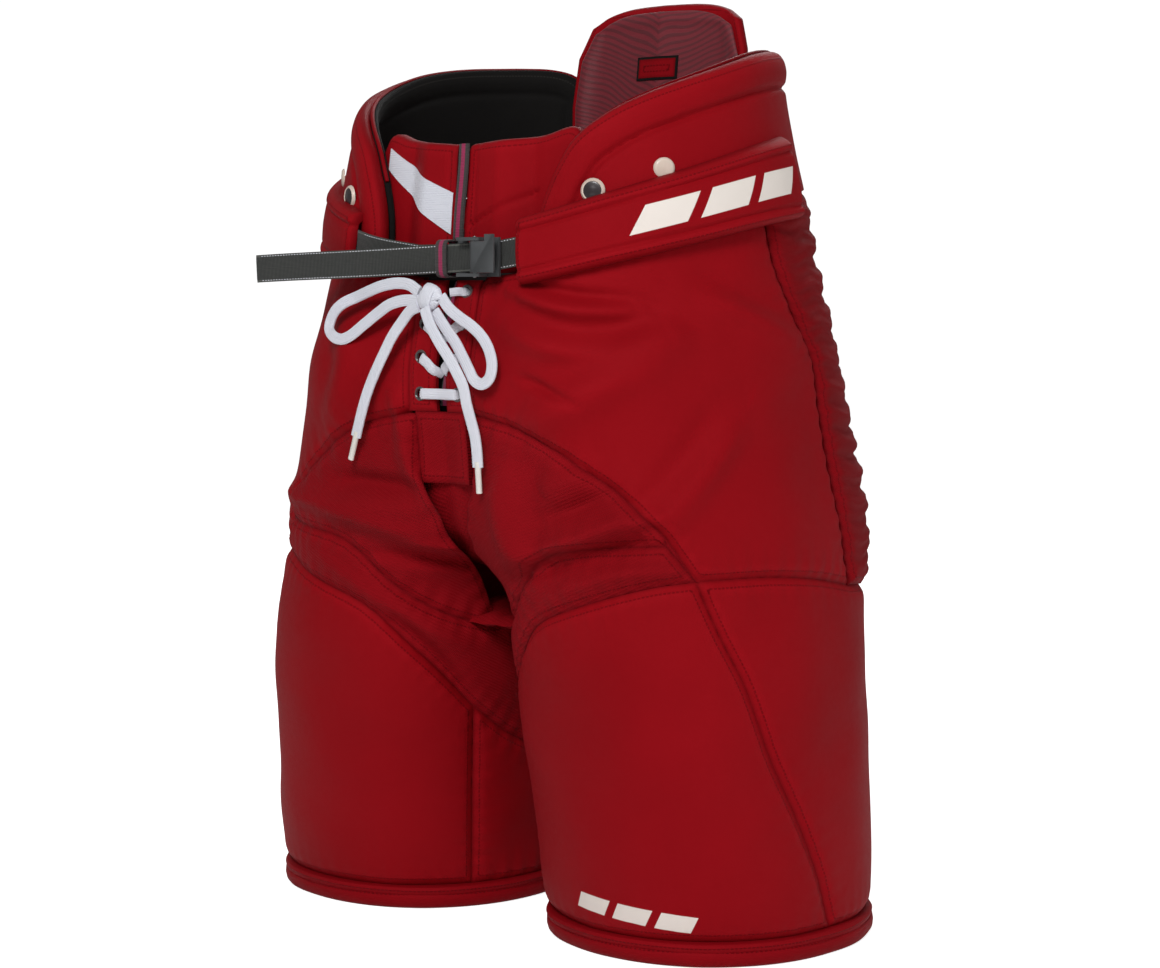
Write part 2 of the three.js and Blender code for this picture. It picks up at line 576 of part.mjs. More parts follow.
// ---------------------------------------------------------------- fly
const flapLow = boxTop + seamGap;
const flapHigh = waist - beltWidth / 2 - 5;
const eyeletRows = eyeletShares.map((share) => lerp(flapLow, flapHigh, share));
const flapThickness = 3.4;
const underThickness = 3;
const underDepth = -flapThickness - 2 * lacingRadius - 3.2;

function fly() {
  const holes = (x) => eyeletRows.map((z) => new THREE.CylinderGeometry(eyeletHole, eyeletHole, 40, 12)
    .translate(x, middle(x, z, -1, 0).y, z));
  const edge = flyHalfWidth - seamGap / 2;
  for (const [name, side] of [['left', 1], ['right', -1]]) {
    const [from, to] = side > 0 ? [slitHalfWidth, edge] : [-edge, -slitHalfWidth];
    add(`fly_flap_${name}`, cut(
      middlePatch(-1, flapLow, flapHigh, from, to, 3, 6, -flapThickness, 0),
      ...holes(side * eyeletReach),
    ), 'cloth');
  }
  add('fly_underlay', middlePatch(
    -1, flapLow, flapHigh, -edge, edge, 6, 4, underDepth - underThickness, underDepth,
  ), 'cloth');
  const patchEdge = boxHalfWidth - seamGap;
  add('fly_patch', middlePatch(
    -1, boxBottom, boxTop - seamGap / 2, -patchEdge, patchEdge, 4, 3, -3, 0.8,
  ), 'cloth');
  add('fly_binding', middlePatch(
    -1, waist + beltWidth / 2 + 5, waist + 78, -2, 6, 2, 4, -1.4, 0.6,
  ), 'webbing');
}

// The crotch gusset is a curved strip from the fly patch, between the legs, to the seat.
function gusset() {
  const low = thighTop - 6;
  const behindFront = (z, lift) => new THREE.Vector3(0, middle(0, z, -1, 0).y + lift, z);
  const outline = new THREE.CatmullRomCurve3([
    behindFront(boxBottom - 2, meshThickness + 3.5),
    behindFront(thighTop + 44, meshThickness + 4.5),
    behindFront(thighTop + 26, meshThickness + 8),
    behindFront(thighTop + 8, meshThickness + 26),
    new THREE.Vector3(0, -48, low),
    new THREE.Vector3(0, 52, low),
    new THREE.Vector3(0, 99, low + 4),
  ]);
  const rows = 12;
  const grid = (lift) => (u, v) => {
    const p = outline.getPoint(v);
    const t = outline.getTangent(v);
    return new THREE.Vector3(lerp(-15, 15, u), p.y + lift * t.z, p.z - lift * t.y);
  };
  add('crotch_gusset', sheet(2, rows, grid(0), grid(-meshThickness), false), 'mesh');
  const seatTop = beltHeight(100) + waistLift;
  add('seat_panel', middlePatch(1, thighTop + 2, seatTop, -44, 44, 6, 6, -padThickness, 0), 'cloth');
  add('tail_guard', middlePatch(
    1, thighTop + 52, seatTop - 40, -34, 34, 4, 3, guardInside, guardOutside,
  ), 'guard');
  add('waist_lining', waistLining(), 'liner');
}

// The lining of the seat and hips: one band round the whole body, open at the top and the bottom.
function waistLining() {
  const low = thighTop + 60;
  const around = 20;
  const place = (u, v, depth) => {
    // u runs once round the body, from the middle of the back over the wearer's left
    const side = u < 0.5 ? 1 : -1;
    const share = side > 0 ? u * 2 : (1 - u) * 2;
    const z = lerp(low, beltHeight(lerp(100, -100, share)) - 36, v);
    const start = angleAt(0, z, 1);
    const end = angleAt(0, z, -1);
    return skin(side, lerp(start, end, share), z, depth);
  };
  const grid = (depth) => (u, v) => place(u, v, depth);
  return sheet(around * 2, 4, grid(liningInside), grid(liningOutside), true, true);
}

// ---------------------------------------------------------------- spine pad
const spineOutline = [[0, 80], [0.45, 82], [0.75, 79], [0.93, 70], [1, 56]]; // [height share, half width]
function spineHalfWidth(v) {
  let i = 1;
  while (i < spineOutline.length - 1 && v > spineOutline[i][0]) i += 1;
  const share = (v - spineOutline[i - 1][0]) / (spineOutline[i][0] - spineOutline[i - 1][0]);
  return lerp(spineOutline[i - 1][1], spineOutline[i][1], share);
}
function spine() {
  const low = waist + 62;
  const depth = -wingThickness - wingLinerThickness - layerGap - 1;
  const grid = (d) => (u, v) => {
    const x = lerp(-1, 1, u) * spineHalfWidth(v);
    const z = lerp(low, top, v) - (Math.abs(u - 0.5) * 2) ** 4 * 6 * v;
    const at = Math.abs(x) > sectionAt(z).x
      ? skin(1, sideAngle(Math.abs(x), z), z, d)
      : middle(Math.abs(x), z, 1, d);
    return new THREE.Vector3(x, at.y, z);
  };
  add('spine_pad', sheet(8, 5, grid(depth - 9), grid(depth), true), 'cloth');
  add('spine_liner', sheet(8, 5, grid(depth - 13.2), grid(depth - 9.6), true), 'print');
}

// The angle at which the outer back quarter of the skin reaches |x|.
function sideAngle(x, z) {
  const s = sectionAt(z);
  const share = Math.min((x - s.x) / s.out, 0.999);
  const y = s.back * (1 - share ** s.square) ** (1 / s.square);
  return THREE.MathUtils.radToDeg(Math.atan2(y, x - s.x));
}

// ---------------------------------------------------------------- snaps for braces
function snap(name, side, angle, rise) {
  const at = skin(side, angle, beltHeight(angle) + rise, 0);
  const ahead = skin(side, angle, beltHeight(angle) + rise, 10).sub(at);
  const body = new THREE.LatheGeometry([
    [0, 0], [snapRadius, 0], [snapRadius, snapHeight * 0.5], [snapRadius * 0.7, snapHeight], [0, snapHeight],
  ].map(([r, z]) => new THREE.Vector2(r, z)), 16);
  const piece = add(name, body, 'plastic');
  piece.position.copy(at).addScaledVector(ahead.normalize(), 0.2);
  piece.quaternion.setFromUnitVectors(new THREE.Vector3(0, 1, 0), ahead);
}

// ---------------------------------------------------------------- laces
const knotCentre = [1, -153, 453];
const laceRoutes = {
  lace_loop_left: [
    [-9, -153, 457], [-20, -151, 462], [-32, -150, 463], [-47, -149, 461], [-62, -147, 457], [-75, -145, 453],
    [-85, -144, 449], [-92, -143, 444], [-97, -142, 437], [-98, -143, 430], [-93, -144, 425], [-86, -145, 423],
    [-78, -147, 425], [-63, -149, 434], [-50, -150, 442], [-38, -151, 448], [-24, -152, 451], [-9, -153, 451],
  ],
  lace_loop_right: [
    [11, -153, 454], [18, -153, 446], [27, -153, 440], [38, -153, 434], [47, -153, 426], [53, -153, 416],
    [54, -153, 406], [51, -153, 399], [46, -153, 396], [41, -153, 399], [38, -153, 404], [32, -153, 412],
    [24, -153, 422], [16, -153, 431], [10, -153, 438], [5, -153, 444],
  ],
  lace_tail_left: [
    [-9, -154, 447], [-17, -153, 444], [-26, -152, 436], [-34, -153, 426], [-42, -153, 414], [-50, -153, 401],
    [-57, -153, 388], [-62, -153, 376], [-67, -152, 364], [-71, -151, 354],
  ],
  lace_tail_right: [
    [1, -159, 446], [6, -160, 436], [14, -160, 424], [22, -159, 413], [29, -158, 402], [33, -156, 392],
    [35, -155, 381], [37, -153, 370], [39, -151, 359], [40, -150, 348], [40, -149, 337],
  ],
};

function laces() {
  for (const [name, route] of Object.entries(laceRoutes)) {
    add(name, cord(route, laceRadius, 2 * route.length), 'lace');
    if (!name.includes('tail')) continue;
    const end = new THREE.Vector3(...route[route.length - 1]);
    const ahead = end.clone().sub(new THREE.Vector3(...route[route.length - 2])).normalize();
    const sheath = new THREE.CylinderGeometry(agletRadius, agletRadius, agletLength, 8);
    const piece = add(name.replace('tail', 'aglet'), sheath, 'lace');
    piece.position.copy(end).addScaledVector(ahead, agletLength / 2 + 0.4);
    piece.quaternion.setFromUnitVectors(new THREE.Vector3(0, 1, 0), ahead);
  }
  const knot = new THREE.IcosahedronGeometry(1, 1).scale(8.6, 4.6, 6.4).translate(...knotCentre);
  add('lace_knot', knot, 'lace');
  add('fly_lacing', cord(lacingRoute(), lacingRadius, 76, 6), 'lace');
}

// The lacing goes in at the top eyelets, comes out of each eyelet below and runs down into the slit.
function lacingRoute() {
  const over = lacingRadius + 1;
  const under = -flapThickness - lacingRadius - 1;
  const half = (sign) => {
    const reach = sign * eyeletReach;
    const slit = sign * 2.2;
    const at = (x, z, depth) => middle(x, z, -1, depth).toArray();
    const [first, second, third, last] = eyeletRows;
    const points = [at(sign * 11, first + 0.5, over), at(reach - sign * 1, first, over - 0.4),
      at(reach, first - 1, under), at(reach, (first + second) / 2, under - 0.3), at(reach, second + 2, under)];
    for (const [row, next] of [[second, third], [third, last]]) {
      points.push(at(reach, row, over - 0.4), at(sign * 10, row - 5, over), at(slit, row - 11, over - 0.8),
        at(slit, row - 14, under), at(sign * 10, (row + next) / 2 - 5, under - 0.3), at(reach, next + 2, under));
    }
    points.push(at(reach, last, over - 0.4));
    return points;
  };
  return [...half(-1), middle(0, eyeletRows[3], -1, over).toArray(), ...half(1).reverse()];
}

// ---------------------------------------------------------------- assembly
for (const [name, side] of [['left', 1], ['right', -1]]) {
  leg(name, side);
  hip(name, side);
  wing(name, side);
  snap(`snap_front_${name}`, side, -66, beltWidth / 2 + snapRise);
  snap(`snap_side_${name}`, side, -44, beltWidth / 2 + snapRise + 2);
}
belt();
buckle();
tail();
keeper();
fly();
gusset();
spine();
laces();

export default group;
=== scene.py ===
"""Padded ice hockey pants, standing empty on both leg hems.

Lengths are millimetres until a mesh is written, which is in metres. +X is the wearer's left,
-Y the front and +Z up. On the skin, angle 0 points out to the side, -90 to the front and 90 to
the back, and depth is measured outwards from the skin.
"""
import logging
import math
from dataclasses import dataclass, field, replace
from enum import Enum
from typing import Callable, Optional, Sequence

import bmesh
import bpy
import numpy as np
from mathutils import Matrix, Vector


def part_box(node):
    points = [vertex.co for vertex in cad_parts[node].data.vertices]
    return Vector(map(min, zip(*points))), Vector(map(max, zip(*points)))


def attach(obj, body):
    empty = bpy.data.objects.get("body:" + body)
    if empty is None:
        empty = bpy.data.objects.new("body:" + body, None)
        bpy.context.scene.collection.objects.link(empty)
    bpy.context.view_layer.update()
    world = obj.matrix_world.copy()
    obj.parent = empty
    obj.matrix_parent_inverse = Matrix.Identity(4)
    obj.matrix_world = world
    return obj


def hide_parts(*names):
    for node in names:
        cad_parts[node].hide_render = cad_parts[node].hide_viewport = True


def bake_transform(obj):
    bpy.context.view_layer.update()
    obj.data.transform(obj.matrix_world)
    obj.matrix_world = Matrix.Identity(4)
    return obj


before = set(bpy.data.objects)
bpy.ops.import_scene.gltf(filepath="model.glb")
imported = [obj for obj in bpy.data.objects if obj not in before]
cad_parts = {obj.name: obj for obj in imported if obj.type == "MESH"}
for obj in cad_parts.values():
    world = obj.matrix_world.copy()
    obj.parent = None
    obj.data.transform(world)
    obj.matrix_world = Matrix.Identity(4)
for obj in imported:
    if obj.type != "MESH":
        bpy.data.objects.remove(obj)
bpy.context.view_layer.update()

LOG = logging.getLogger("pants")
MM = 0.001
Array = np.ndarray
Place = Callable[[Array, Array, Array], Array]


class Side(Enum):
    """One half of the pants, as the sign of its x."""

    LEFT = 1
    RIGHT = -1

    @property
    def word(self) -> str:
        """The side's name in the names of pieces."""
        return self.name.lower()

    @property
    def leg(self) -> str:
        """The body that this side's leg rides on."""
        return f"{self.word}_leg"


class Facing(Enum):
    """The front or the back of the pants, as the sign of y."""

    FRONT = -1
    BACK = 1


class Slot(Enum):
    """The record's material slots."""

    SHELL = "shell_cloth"
    TRIM = "trim_cloth"
    MESH = "stretch_mesh"
    GATHER = "gathered_cloth"
    LINER = "liner_cloth"
    LINING = "lining_cloth"
    PRINT = "printed_lining"
    WEBBING = "belt_webbing"
    TAPE = "binding_tape"
    BUCKLE = "buckle_plastic"
    SNAP_DARK = "snap_dark"
    SNAP_PALE = "snap_pale"
    GUARD = "guard_plastic"
    PIN = "pin_steel"
    LACE = "lace"
    TIP = "lace_tip"


# ------------------------------------------------------------------ heights and the skin
@dataclass(frozen=True)
class Heights:
    """The heights that everything else follows, in millimetres."""

    hem: float
    thigh: float
    waist: float
    top: float

    @classmethod
    def from_frame(cls) -> "Heights":
        """Reads the heights from the frame's own nodes.

        Returns:
            The top of the hem band, the thigh seam, the middle of the belt and the top.
        """
        seat_gap = 2.0
        belt_to_pin = 1.0
        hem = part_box("thigh_front_left")[0].z / MM
        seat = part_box("seat_panel")[0].z / MM
        pin_low, pin_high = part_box("lever_pin")
        pin = (pin_low.z + pin_high.z) / 2 / MM
        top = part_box("spine_pad")[1].z / MM
        return cls(round(hem), round(seat - seat_gap), round(pin - belt_to_pin), round(top))


@dataclass(frozen=True)
class Section:
    """The oval of one half of the pants at one height.

    x and y place the leg line; out, inner, front and back are the reaches from it; square and
    corner are the powers of the oval, corner in the front outer quarter only.
    """

    z: float
    x: float
    y: float
    out: float
    inner: float
    front: float
    back: float
    square: float
    corner: float


class Skin:
    """The surface that every soft panel lies on."""

    KEYS = ("x", "y", "out", "inner", "front", "back", "square", "corner")

    def __init__(self, heights: Heights) -> None:
        """Sets out the ovals from the hem to the top of the spine pad."""
        self.heights = heights
        leg = heights.thigh
        torso = heights.waist - heights.thigh
        pads = heights.top - heights.waist
        rows = [
            Section(0, 130, 4, 114, 112, 118, 116, 2.1, 2.05),
            Section(leg * 0.38, 125, -2, 115, 112, 124, 124, 2.15, 2.05),
            Section(leg * 0.76, 117, -7, 115, 112, 131, 132, 2.3, 2.05),
            Section(leg * 0.945, 108, -3, 118, 105.5, 138, 140, 2.45, 2),
            Section(leg + torso * 0.12, 101, 1, 120, 160, 146, 146, 2.5, 1.95),
            Section(leg + torso * 0.35, 92, 4, 121, 200, 148, 142, 2.4, 1.78),
            Section(leg + torso * 0.63, 80, 5, 122, 240, 151, 138, 2.3, 1.8),
            Section(leg + torso * 0.815, 70, 7, 124, 250, 145, 134, 2.2, 1.8),
            Section(heights.waist, 60, 7, 125, 260, 135, 130, 2.15, 2),
            Section(heights.waist + pads * 0.2, 58, 7, 121, 260, 131, 132, 2, 2),
            Section(heights.waist + pads * 0.41, 56, 7, 114, 260, 128, 137, 1.85, 2),
            Section(heights.waist + pads * 0.61, 54, 7, 108, 260, 124, 142, 1.75, 2),
            Section(heights.waist + pads * 0.81, 54, 7, 105, 260, 122, 147, 1.7, 2),
            Section(heights.top, 54, 7, 104, 260, 122, 151, 1.7, 2),
        ]
        self.z = np.array([row.z for row in rows])
        self.rows = np.array([[getattr(row, key) for key in self.KEYS] for row in rows])

    def at(self, z: Array) -> dict[str, Array]:
        """The oval at each height.

        Args:
            z: Heights.

        Returns:
            The section's values by name, one array each.
        """
        last = len(self.z) - 1
        i = np.clip(np.searchsorted(self.z, z, "left") - 1, 0, last - 1)
        before, after = np.maximum(i - 1, 0), np.minimum(i + 2, last)
        step = self.z[i + 1] - self.z[i]
        t = np.clip((z - self.z[i]) / step, 0, 1)[..., None]
        a, b = self.rows[i], self.rows[i + 1]
        slope_a = (b - self.rows[before]) * (step / (self.z[i + 1] - self.z[before]))[..., None]
        slope_b = (self.rows[after] - a) * (step / (self.z[after] - self.z[i]))[..., None]
        mixed = (a * (2 * t**3 - 3 * t**2 + 1) + slope_a * (t**3 - 2 * t**2 + t)
                 + b * (3 * t**2 - 2 * t**3) + slope_b * (t**3 - t**2))
        return {key: mixed[..., k] for k, key in enumerate(self.KEYS)}

    def point(self, side: Side, angle: Array, z: Array, depth: Array) -> Array:
        """Points of the skin, moved out by depth.

        Args:
            side: The half of the pants.
            angle: Degrees round the leg line.
            z: Heights.
            depth: Distances outwards.

        Returns:
            Points, as rows of x, y and z.
        """
        angle, z, depth = np.broadcast_arrays(np.asarray(angle, float), np.asarray(z, float), depth)
        s = self.at(z)
        c, d = np.cos(np.radians(angle)), np.sin(np.radians(angle))
        a = np.where(c >= 0, s["out"], s["inner"]) + depth
        b = np.where(d < 0, s["front"], s["back"]) + depth
        power = np.where((c > 0) & (d < 0), s["corner"], s["square"])
        r = (np.abs(c / a) ** power + np.abs(d / b) ** power) ** (-1 / power)
        return np.stack([side.value * (s["x"] + r * c), s["y"] + r * d, z], -1)

    def angle_at(self, x: Array, z: Array, facing: Facing) -> Array:
        """The angle at which the skin crosses the upright plane at x.

        Args:
            x: Distances from the middle plane.
            z: Heights.
            facing: The front or the back.

        Returns:
            Angles in degrees.
        """
        s = self.at(np.asarray(z, float))
        offset = np.asarray(x, float) - s["x"]
        reach = np.where(offset < 0, s["inner"] * 0.999, s["out"] * 0.999)
        share = np.minimum(np.abs(offset) / reach, 1)
        far = s["front"] if facing is Facing.FRONT else s["back"]
        y = far * (1 - share ** s["square"]) ** (1 / s["square"])
        return np.degrees(np.arctan2(facing.value * y, offset))

    def middle(self, x: Array, z: Array, facing: Facing, depth: Array) -> Array:
        """Points near the middle of the front or the back, given by x instead of an angle."""
        x, z, depth = np.broadcast_arrays(np.asarray(x, float), np.asarray(z, float), depth)
        at = self.point(Side.LEFT, self.angle_at(np.abs(x), z, facing), z, depth)
        return np.stack([x, at[..., 1], z], -1)


# ------------------------------------------------------------------ seams
MM_PER_DEGREE = 2.0


class Curve:
    """A line of (angle, height) points, followed by its length in the chart."""

    def __init__(self, points: Sequence[Sequence[float]]) -> None:
        """Keeps the points and measures the line."""
        self.points = np.asarray(points, float)
        steps = np.diff(self.points * [MM_PER_DEGREE, 1], axis=0)
        lengths = np.concatenate([[0], np.cumsum(np.hypot(steps[:, 0], steps[:, 1]))])
        self.shares = lengths / lengths[-1] if lengths[-1] > 0 else np.linspace(0, 1, len(lengths))

    def at(self, t: Array) -> Array:
        """The chart points at the shares t of the length."""
        return np.stack([np.interp(t, self.shares, self.points[:, k]) for k in (0, 1)], -1)


def rounded_line(points: Sequence[Sequence[float]], per_span: int = 8) -> list[list[float]]:
    """A smooth line through chart points.

    Args:
        points: Angles and heights.
        per_span: Steps between two of the points.

    Returns:
        The points of the smooth line, the ends kept.
    """
    p = np.asarray(points, float)
    if len(p) < 3:
        return p.tolist()
    p = np.vstack([2 * p[0] - p[1], p, 2 * p[-1] - p[-2]])
    knots = np.concatenate([[0], np.cumsum(np.linalg.norm(np.diff(p * [MM_PER_DEGREE, 1], axis=0), axis=1) ** 0.5)])
    line = []
    for i in range(1, len(p) - 2):
        k = knots[i - 1:i + 3]
        for t in np.linspace(k[1], k[2], per_span, endpoint=False):
            a = [p[i - 1 + j] + (p[i + j] - p[i - 1 + j]) * (t - k[j]) / (k[j + 1] - k[j]) for j in range(3)]
            b = [a[j] + (a[j + 1] - a[j]) * (t - k[j]) / (k[j + 2] - k[j]) for j in range(2)]
            line.append((b[0] + (b[1] - b[0]) * (t - k[1]) / (k[2] - k[1])).tolist())
    return line + [p[-2].tolist()]


class Pattern:
    """The seams between the panels, the same on both halves."""

    inner_front = -144.0
    inner_back = -205.0
    waist_lift = -13.0
    fly_half = 27.0
    box_half = 20.0
    crotch_split = 7.0
    seat_half = 45.0

    def __init__(self, skin: Skin) -> None:
        """Draws every seam once, so that the panels on its two sides share it."""
        self.skin = skin
        h = skin.heights
        thigh, waist, hem = h.thigh, h.waist, h.hem
        self.box_low = thigh + 62
        self.box_high = thigh + 108
        self.belt = np.array(rounded_line([
            [-103, waist], [-84, waist + 7], [-60, waist + 21], [-15, waist + 47],
            [5, waist + 55], [40, waist + 64], [80, waist + 72], [103, waist + 74]]))
        self.front_side = rounded_line([
            [-6, hem], [-12, 58], [-20, 99], [-29, 142], [-36, 191], [-44, thigh - 35], [-50, thigh]])
        self.thigh_front = rounded_line([
            [self.inner_front, thigh - 111], [-132, thigh - 85], [-122, thigh - 65], [-105, thigh - 35],
            [-88, thigh - 20], [-64, thigh - 4], [-50, thigh]])
        self.thigh_side = rounded_line([[-50, thigh], [-24, thigh], [0, thigh - 5], [24, thigh - 14]])
        self.thigh_back = rounded_line([
            [24, thigh - 14], [60, thigh - 21], [100, thigh - 24], [360 + self.inner_back, thigh - 28]])
        self.gusset_top = rounded_line([
            [self.inner_back, thigh - 139], [-180, thigh - 149], [-160, thigh - 135],
            [self.inner_front, thigh - 111]])
        self.band_inner = rounded_line([
            [self.inner_back, thigh - 21], [-180, thigh - 20], [-165, thigh - 25], [-152, thigh - 50]])
        self.band_top = rounded_line([
            [-152, thigh - 50], [-142, thigh - 47], [-125, thigh - 34], [-112, thigh - 17], [-94, thigh + 14],
            [-66, thigh + 23], [-58, thigh + 24]])
        start = [float(self.angle(self.fly_half, self.box_high)), self.box_high]
        self.mesh_top = rounded_line([start, [-96, thigh + 99], [-79, thigh + 75], [-65, thigh + 48],
                                      [-58, thigh + 30]])
        self.mesh_tip = [[-58, thigh + 30], [-50, thigh]]
        self.hip_back = rounded_line([[24, thigh - 14], [16, 310], [12, 371], [12, 405], [6, 430], [-2, 468],
                                      [-5, self.belt_height(-5) + self.waist_lift]])

    def angle(self, x: float, z: float, facing: Facing = Facing.FRONT) -> Array:
        """The angle of the upright plane at x, at a height."""
        return self.skin.angle_at(x, z, facing)

    def belt_height(self, angle: Array) -> Array:
        """The height of the middle of the belt at each angle."""
        return np.interp(angle, self.belt[:, 0], self.belt[:, 1])

    def along_belt(self, start: float, end: float, lift: float, count: int = 30) -> list[list[float]]:
        """A line beside the belt, from one angle to another, lift above its middle."""
        return [[a, float(self.belt_height(a)) + lift] for a in np.linspace(start, end, count)]

    def upright(self, x: float, low: float, high: float, facing: Facing, count: int = 16) -> list[list[float]]:
        """The upright line at x between two heights."""
        return [[float(self.angle(x, z, facing)), z] for z in np.linspace(low, high, count)]

    def cut_back(self, line: Sequence[Sequence[float]], last: float) -> list[list[float]]:
        """The part of a line up to an angle.

        Args:
            line: Chart points, with rising angles.
            last: The angle that it ends on.

        Returns:
            The points up to last.
        """
        kept = [p for p in line if p[0] < last]
        heights = np.interp([last], [p[0] for p in line], [p[1] for p in line])
        return [*kept, [last, float(heights[0])]]


# ------------------------------------------------------------------ relief of the cloth
@dataclass(frozen=True)
class Fold:
    """A fold of loose cloth along a line on the skin.

    points are (angle, height); height is how far its crest stands out; width is its half
    width; dip is how deep the crease beside it is, on its left going along the points.
    """

    points: Sequence[Sequence[float]]
    height: float
    width: float
    dip: float = 0.6


class Relief:
    """How loose cloth stands off the skin: long folds and soft ripples."""

    def __init__(self, seed: int = 7) -> None:
        """Draws the ripples once, so that neighbours share them."""
        draw = np.random.default_rng(seed)
        count = 14
        length = draw.uniform(34, 110, count)
        direction = draw.normal(size=(count, 3))
        direction /= np.linalg.norm(direction, axis=1, keepdims=True)
        self.waves = direction * (2 * math.pi / length)[:, None]
        self.phase = draw.uniform(0, 2 * math.pi, count)
        self.weight = length / length.sum()
        self.folds: dict[Side, list[Fold]] = {Side.LEFT: [], Side.RIGHT: []}

    def ripple(self, points: Array) -> Array:
        """A soft unevenness from about -1 to 1, the same for all cloth at a place."""
        return np.sin(points @ self.waves.T + self.phase) @ self.weight * 2.2

    def at(self, side: Side, angle: Array, z: Array) -> Array:
        """The height of the folds of one side at chart points."""
        total = np.zeros(len(angle))
        here = np.stack([angle * MM_PER_DEGREE, z], -1)
        for fold in self.folds[side]:
            line = np.array(rounded_line(fold.points, 5)) * [MM_PER_DEGREE, 1]
            a, b = line[:-1], line[1:]
            run = b - a
            share = np.clip(((here[:, None] - a) * run).sum(-1) / (run**2).sum(-1), 0, 1)
            gap = here[:, None] - (a + share[..., None] * run)
            distance = np.linalg.norm(gap, axis=-1)
            k = distance.argmin(1)
            rows = np.arange(len(k))
            turn = run[k, 0] * gap[rows, k, 1] - run[k, 1] * gap[rows, k, 0]
            signed = distance[rows, k] * np.sign(turn)
            along = (k + share[rows, k]) / len(run)
            taper = np.sqrt(np.clip(np.sin(np.pi * np.clip(along, 0.02, 0.98)), 0, 1))
            crest = np.exp(-((signed / fold.width) ** 2))
            crease = np.exp(-(((signed - 1.7 * fold.width) / (0.8 * fold.width)) ** 2))
            total += 1.7 * fold.height * taper * (crest - fold.dip * crease)
        return total


# ------------------------------------------------------------------ mesh making
def finish_mesh(name: str, bm: bmesh.types.BMesh, sharp: float = 50.0) -> bpy.types.Object:
    """Turns a bmesh into an object in the scene, smooth but for its sharp edges.

    Args:
        name: The piece's name.
        bm: The shape, which is freed.
        sharp: Edges that turn by more degrees than this stay sharp.

    Returns:
        The new object, at the origin.
    """
    mesh = bpy.data.meshes.new(name)
    bm.to_mesh(mesh)
    bm.free()
    piece = bpy.data.objects.new(name, mesh)
    bpy.context.scene.collection.objects.link(piece)
    mesh.polygons.foreach_set("use_smooth", np.ones(len(mesh.polygons), bool))
    mesh.set_sharp_from_angle(angle=math.radians(sharp))
    return piece


def coordinates(mesh: bpy.types.Mesh) -> Array:
    """The mesh's vertices as rows."""
    co = np.empty(len(mesh.vertices) * 3)
    mesh.vertices.foreach_get("co", co)
    return co.reshape(-1, 3)


def put_attribute(mesh: bpy.types.Mesh, name: str, values: Array) -> None:
    """Stores one number for each vertex, which materials read by name."""
    made = mesh.attributes.new(name, "FLOAT", "POINT")
    made.data.foreach_set("value", np.ascontiguousarray(values, np.float32))


def put_chart(mesh: bpy.types.Mesh, chart: Array) -> None:
    """Stores the cloth's own coordinates, in millimetres, as the UV map."""
    layer = mesh.uv_layers.new(name="cloth")
    corner = np.empty(len(mesh.loops), np.int32)
    mesh.loops.foreach_get("vertex_index", corner)
    layer.data.foreach_set("uv", np.ascontiguousarray(chart[corner], np.float32).ravel())


def slab(name: str, columns: int, rows: int, place: Place, mirrored: bool = False,
         chart: Optional[Callable[[Array, Array], Array]] = None, ease: float = 0.35,
         sharp: float = 50.0) -> bpy.types.Object:
    """A closed sheet bent onto a shape.

    Args:
        name: The piece's name.
        columns: Cells across.
        rows: Cells up.
        place: Gives the points of shares across, up and through, 1 outside and 0 inside.
        mirrored: Whether place turns the sheet over.
        chart: Gives the cloth's own coordinates, in millimetres.
        ease: How much the cells crowd towards the edges.
        sharp: Edges that turn by more degrees than this stay sharp.

    Returns:
        The piece.
    """
    bm = bmesh.new()
    bmesh.ops.create_grid(bm, x_segments=columns, y_segments=rows, size=0.5)
    bmesh.ops.solidify(bm, geom=bm.faces[:], thickness=1.0)
    if mirrored:
        bmesh.ops.reverse_faces(bm, faces=bm.faces[:])
    piece = finish_mesh(name, bm)
    mesh = piece.data
    flat = coordinates(mesh)
    crowd = lambda t: (1 - ease) * t + ease * (0.5 - 0.5 * np.cos(np.pi * t))
    u, v = crowd(flat[:, 0] + 0.5), crowd(flat[:, 1] + 0.5)
    w = np.clip(flat[:, 2] + 1, 0, 1)
    mesh.vertices.foreach_set("co", (place(u, v, w) * MM).ravel())
    if chart is not None:
        put_chart(mesh, chart(u, v))
    mesh.update()
    mesh.set_sharp_from_angle(angle=math.radians(sharp))
    return piece


def ring(name: str, profile: Sequence[Sequence[float]], steps: int, place: Place,
         mirrored: bool = False, sharp: float = 40.0) -> bpy.types.Object:
    """A closed profile spun once round and bent onto a shape.

    Args:
        name: The piece's name.
        profile: Closed outline as (depth, rise), anticlockwise seen from the front.
        steps: Cells round.
        place: Gives the points of shares round, rises and depths.
        mirrored: Whether place turns the ring over.
        sharp: Edges that turn by more degrees than this stay sharp.

    Returns:
        The piece.
    """
    hub = 1000.0
    bm = bmesh.new()
    verts = [bm.verts.new((hub + depth, 0, rise)) for depth, rise in profile]
    edges = [bm.edges.new((a, b)) for a, b in zip(verts, verts[1:] + verts[:1])]
    bmesh.ops.spin(bm, geom=verts + edges, cent=(0, 0, 0), axis=(0, 0, 1), angle=2 * math.pi,
                   steps=steps, use_merge=True)
    bmesh.ops.recalc_face_normals(bm, faces=bm.faces[:])
    if mirrored:
        bmesh.ops.reverse_faces(bm, faces=bm.faces[:])
    piece = finish_mesh(name, bm)
    mesh = piece.data
    co = coordinates(mesh)
    turn = np.arctan2(co[:, 1], co[:, 0]) / (2 * math.pi) % 1
    depth = np.hypot(co[:, 0], co[:, 1]) - hub
    mesh.vertices.foreach_set("co", (place(turn, co[:, 2], depth) * MM).ravel())
    mesh.update()
    mesh.set_sharp_from_angle(angle=math.radians(sharp))
    return piece


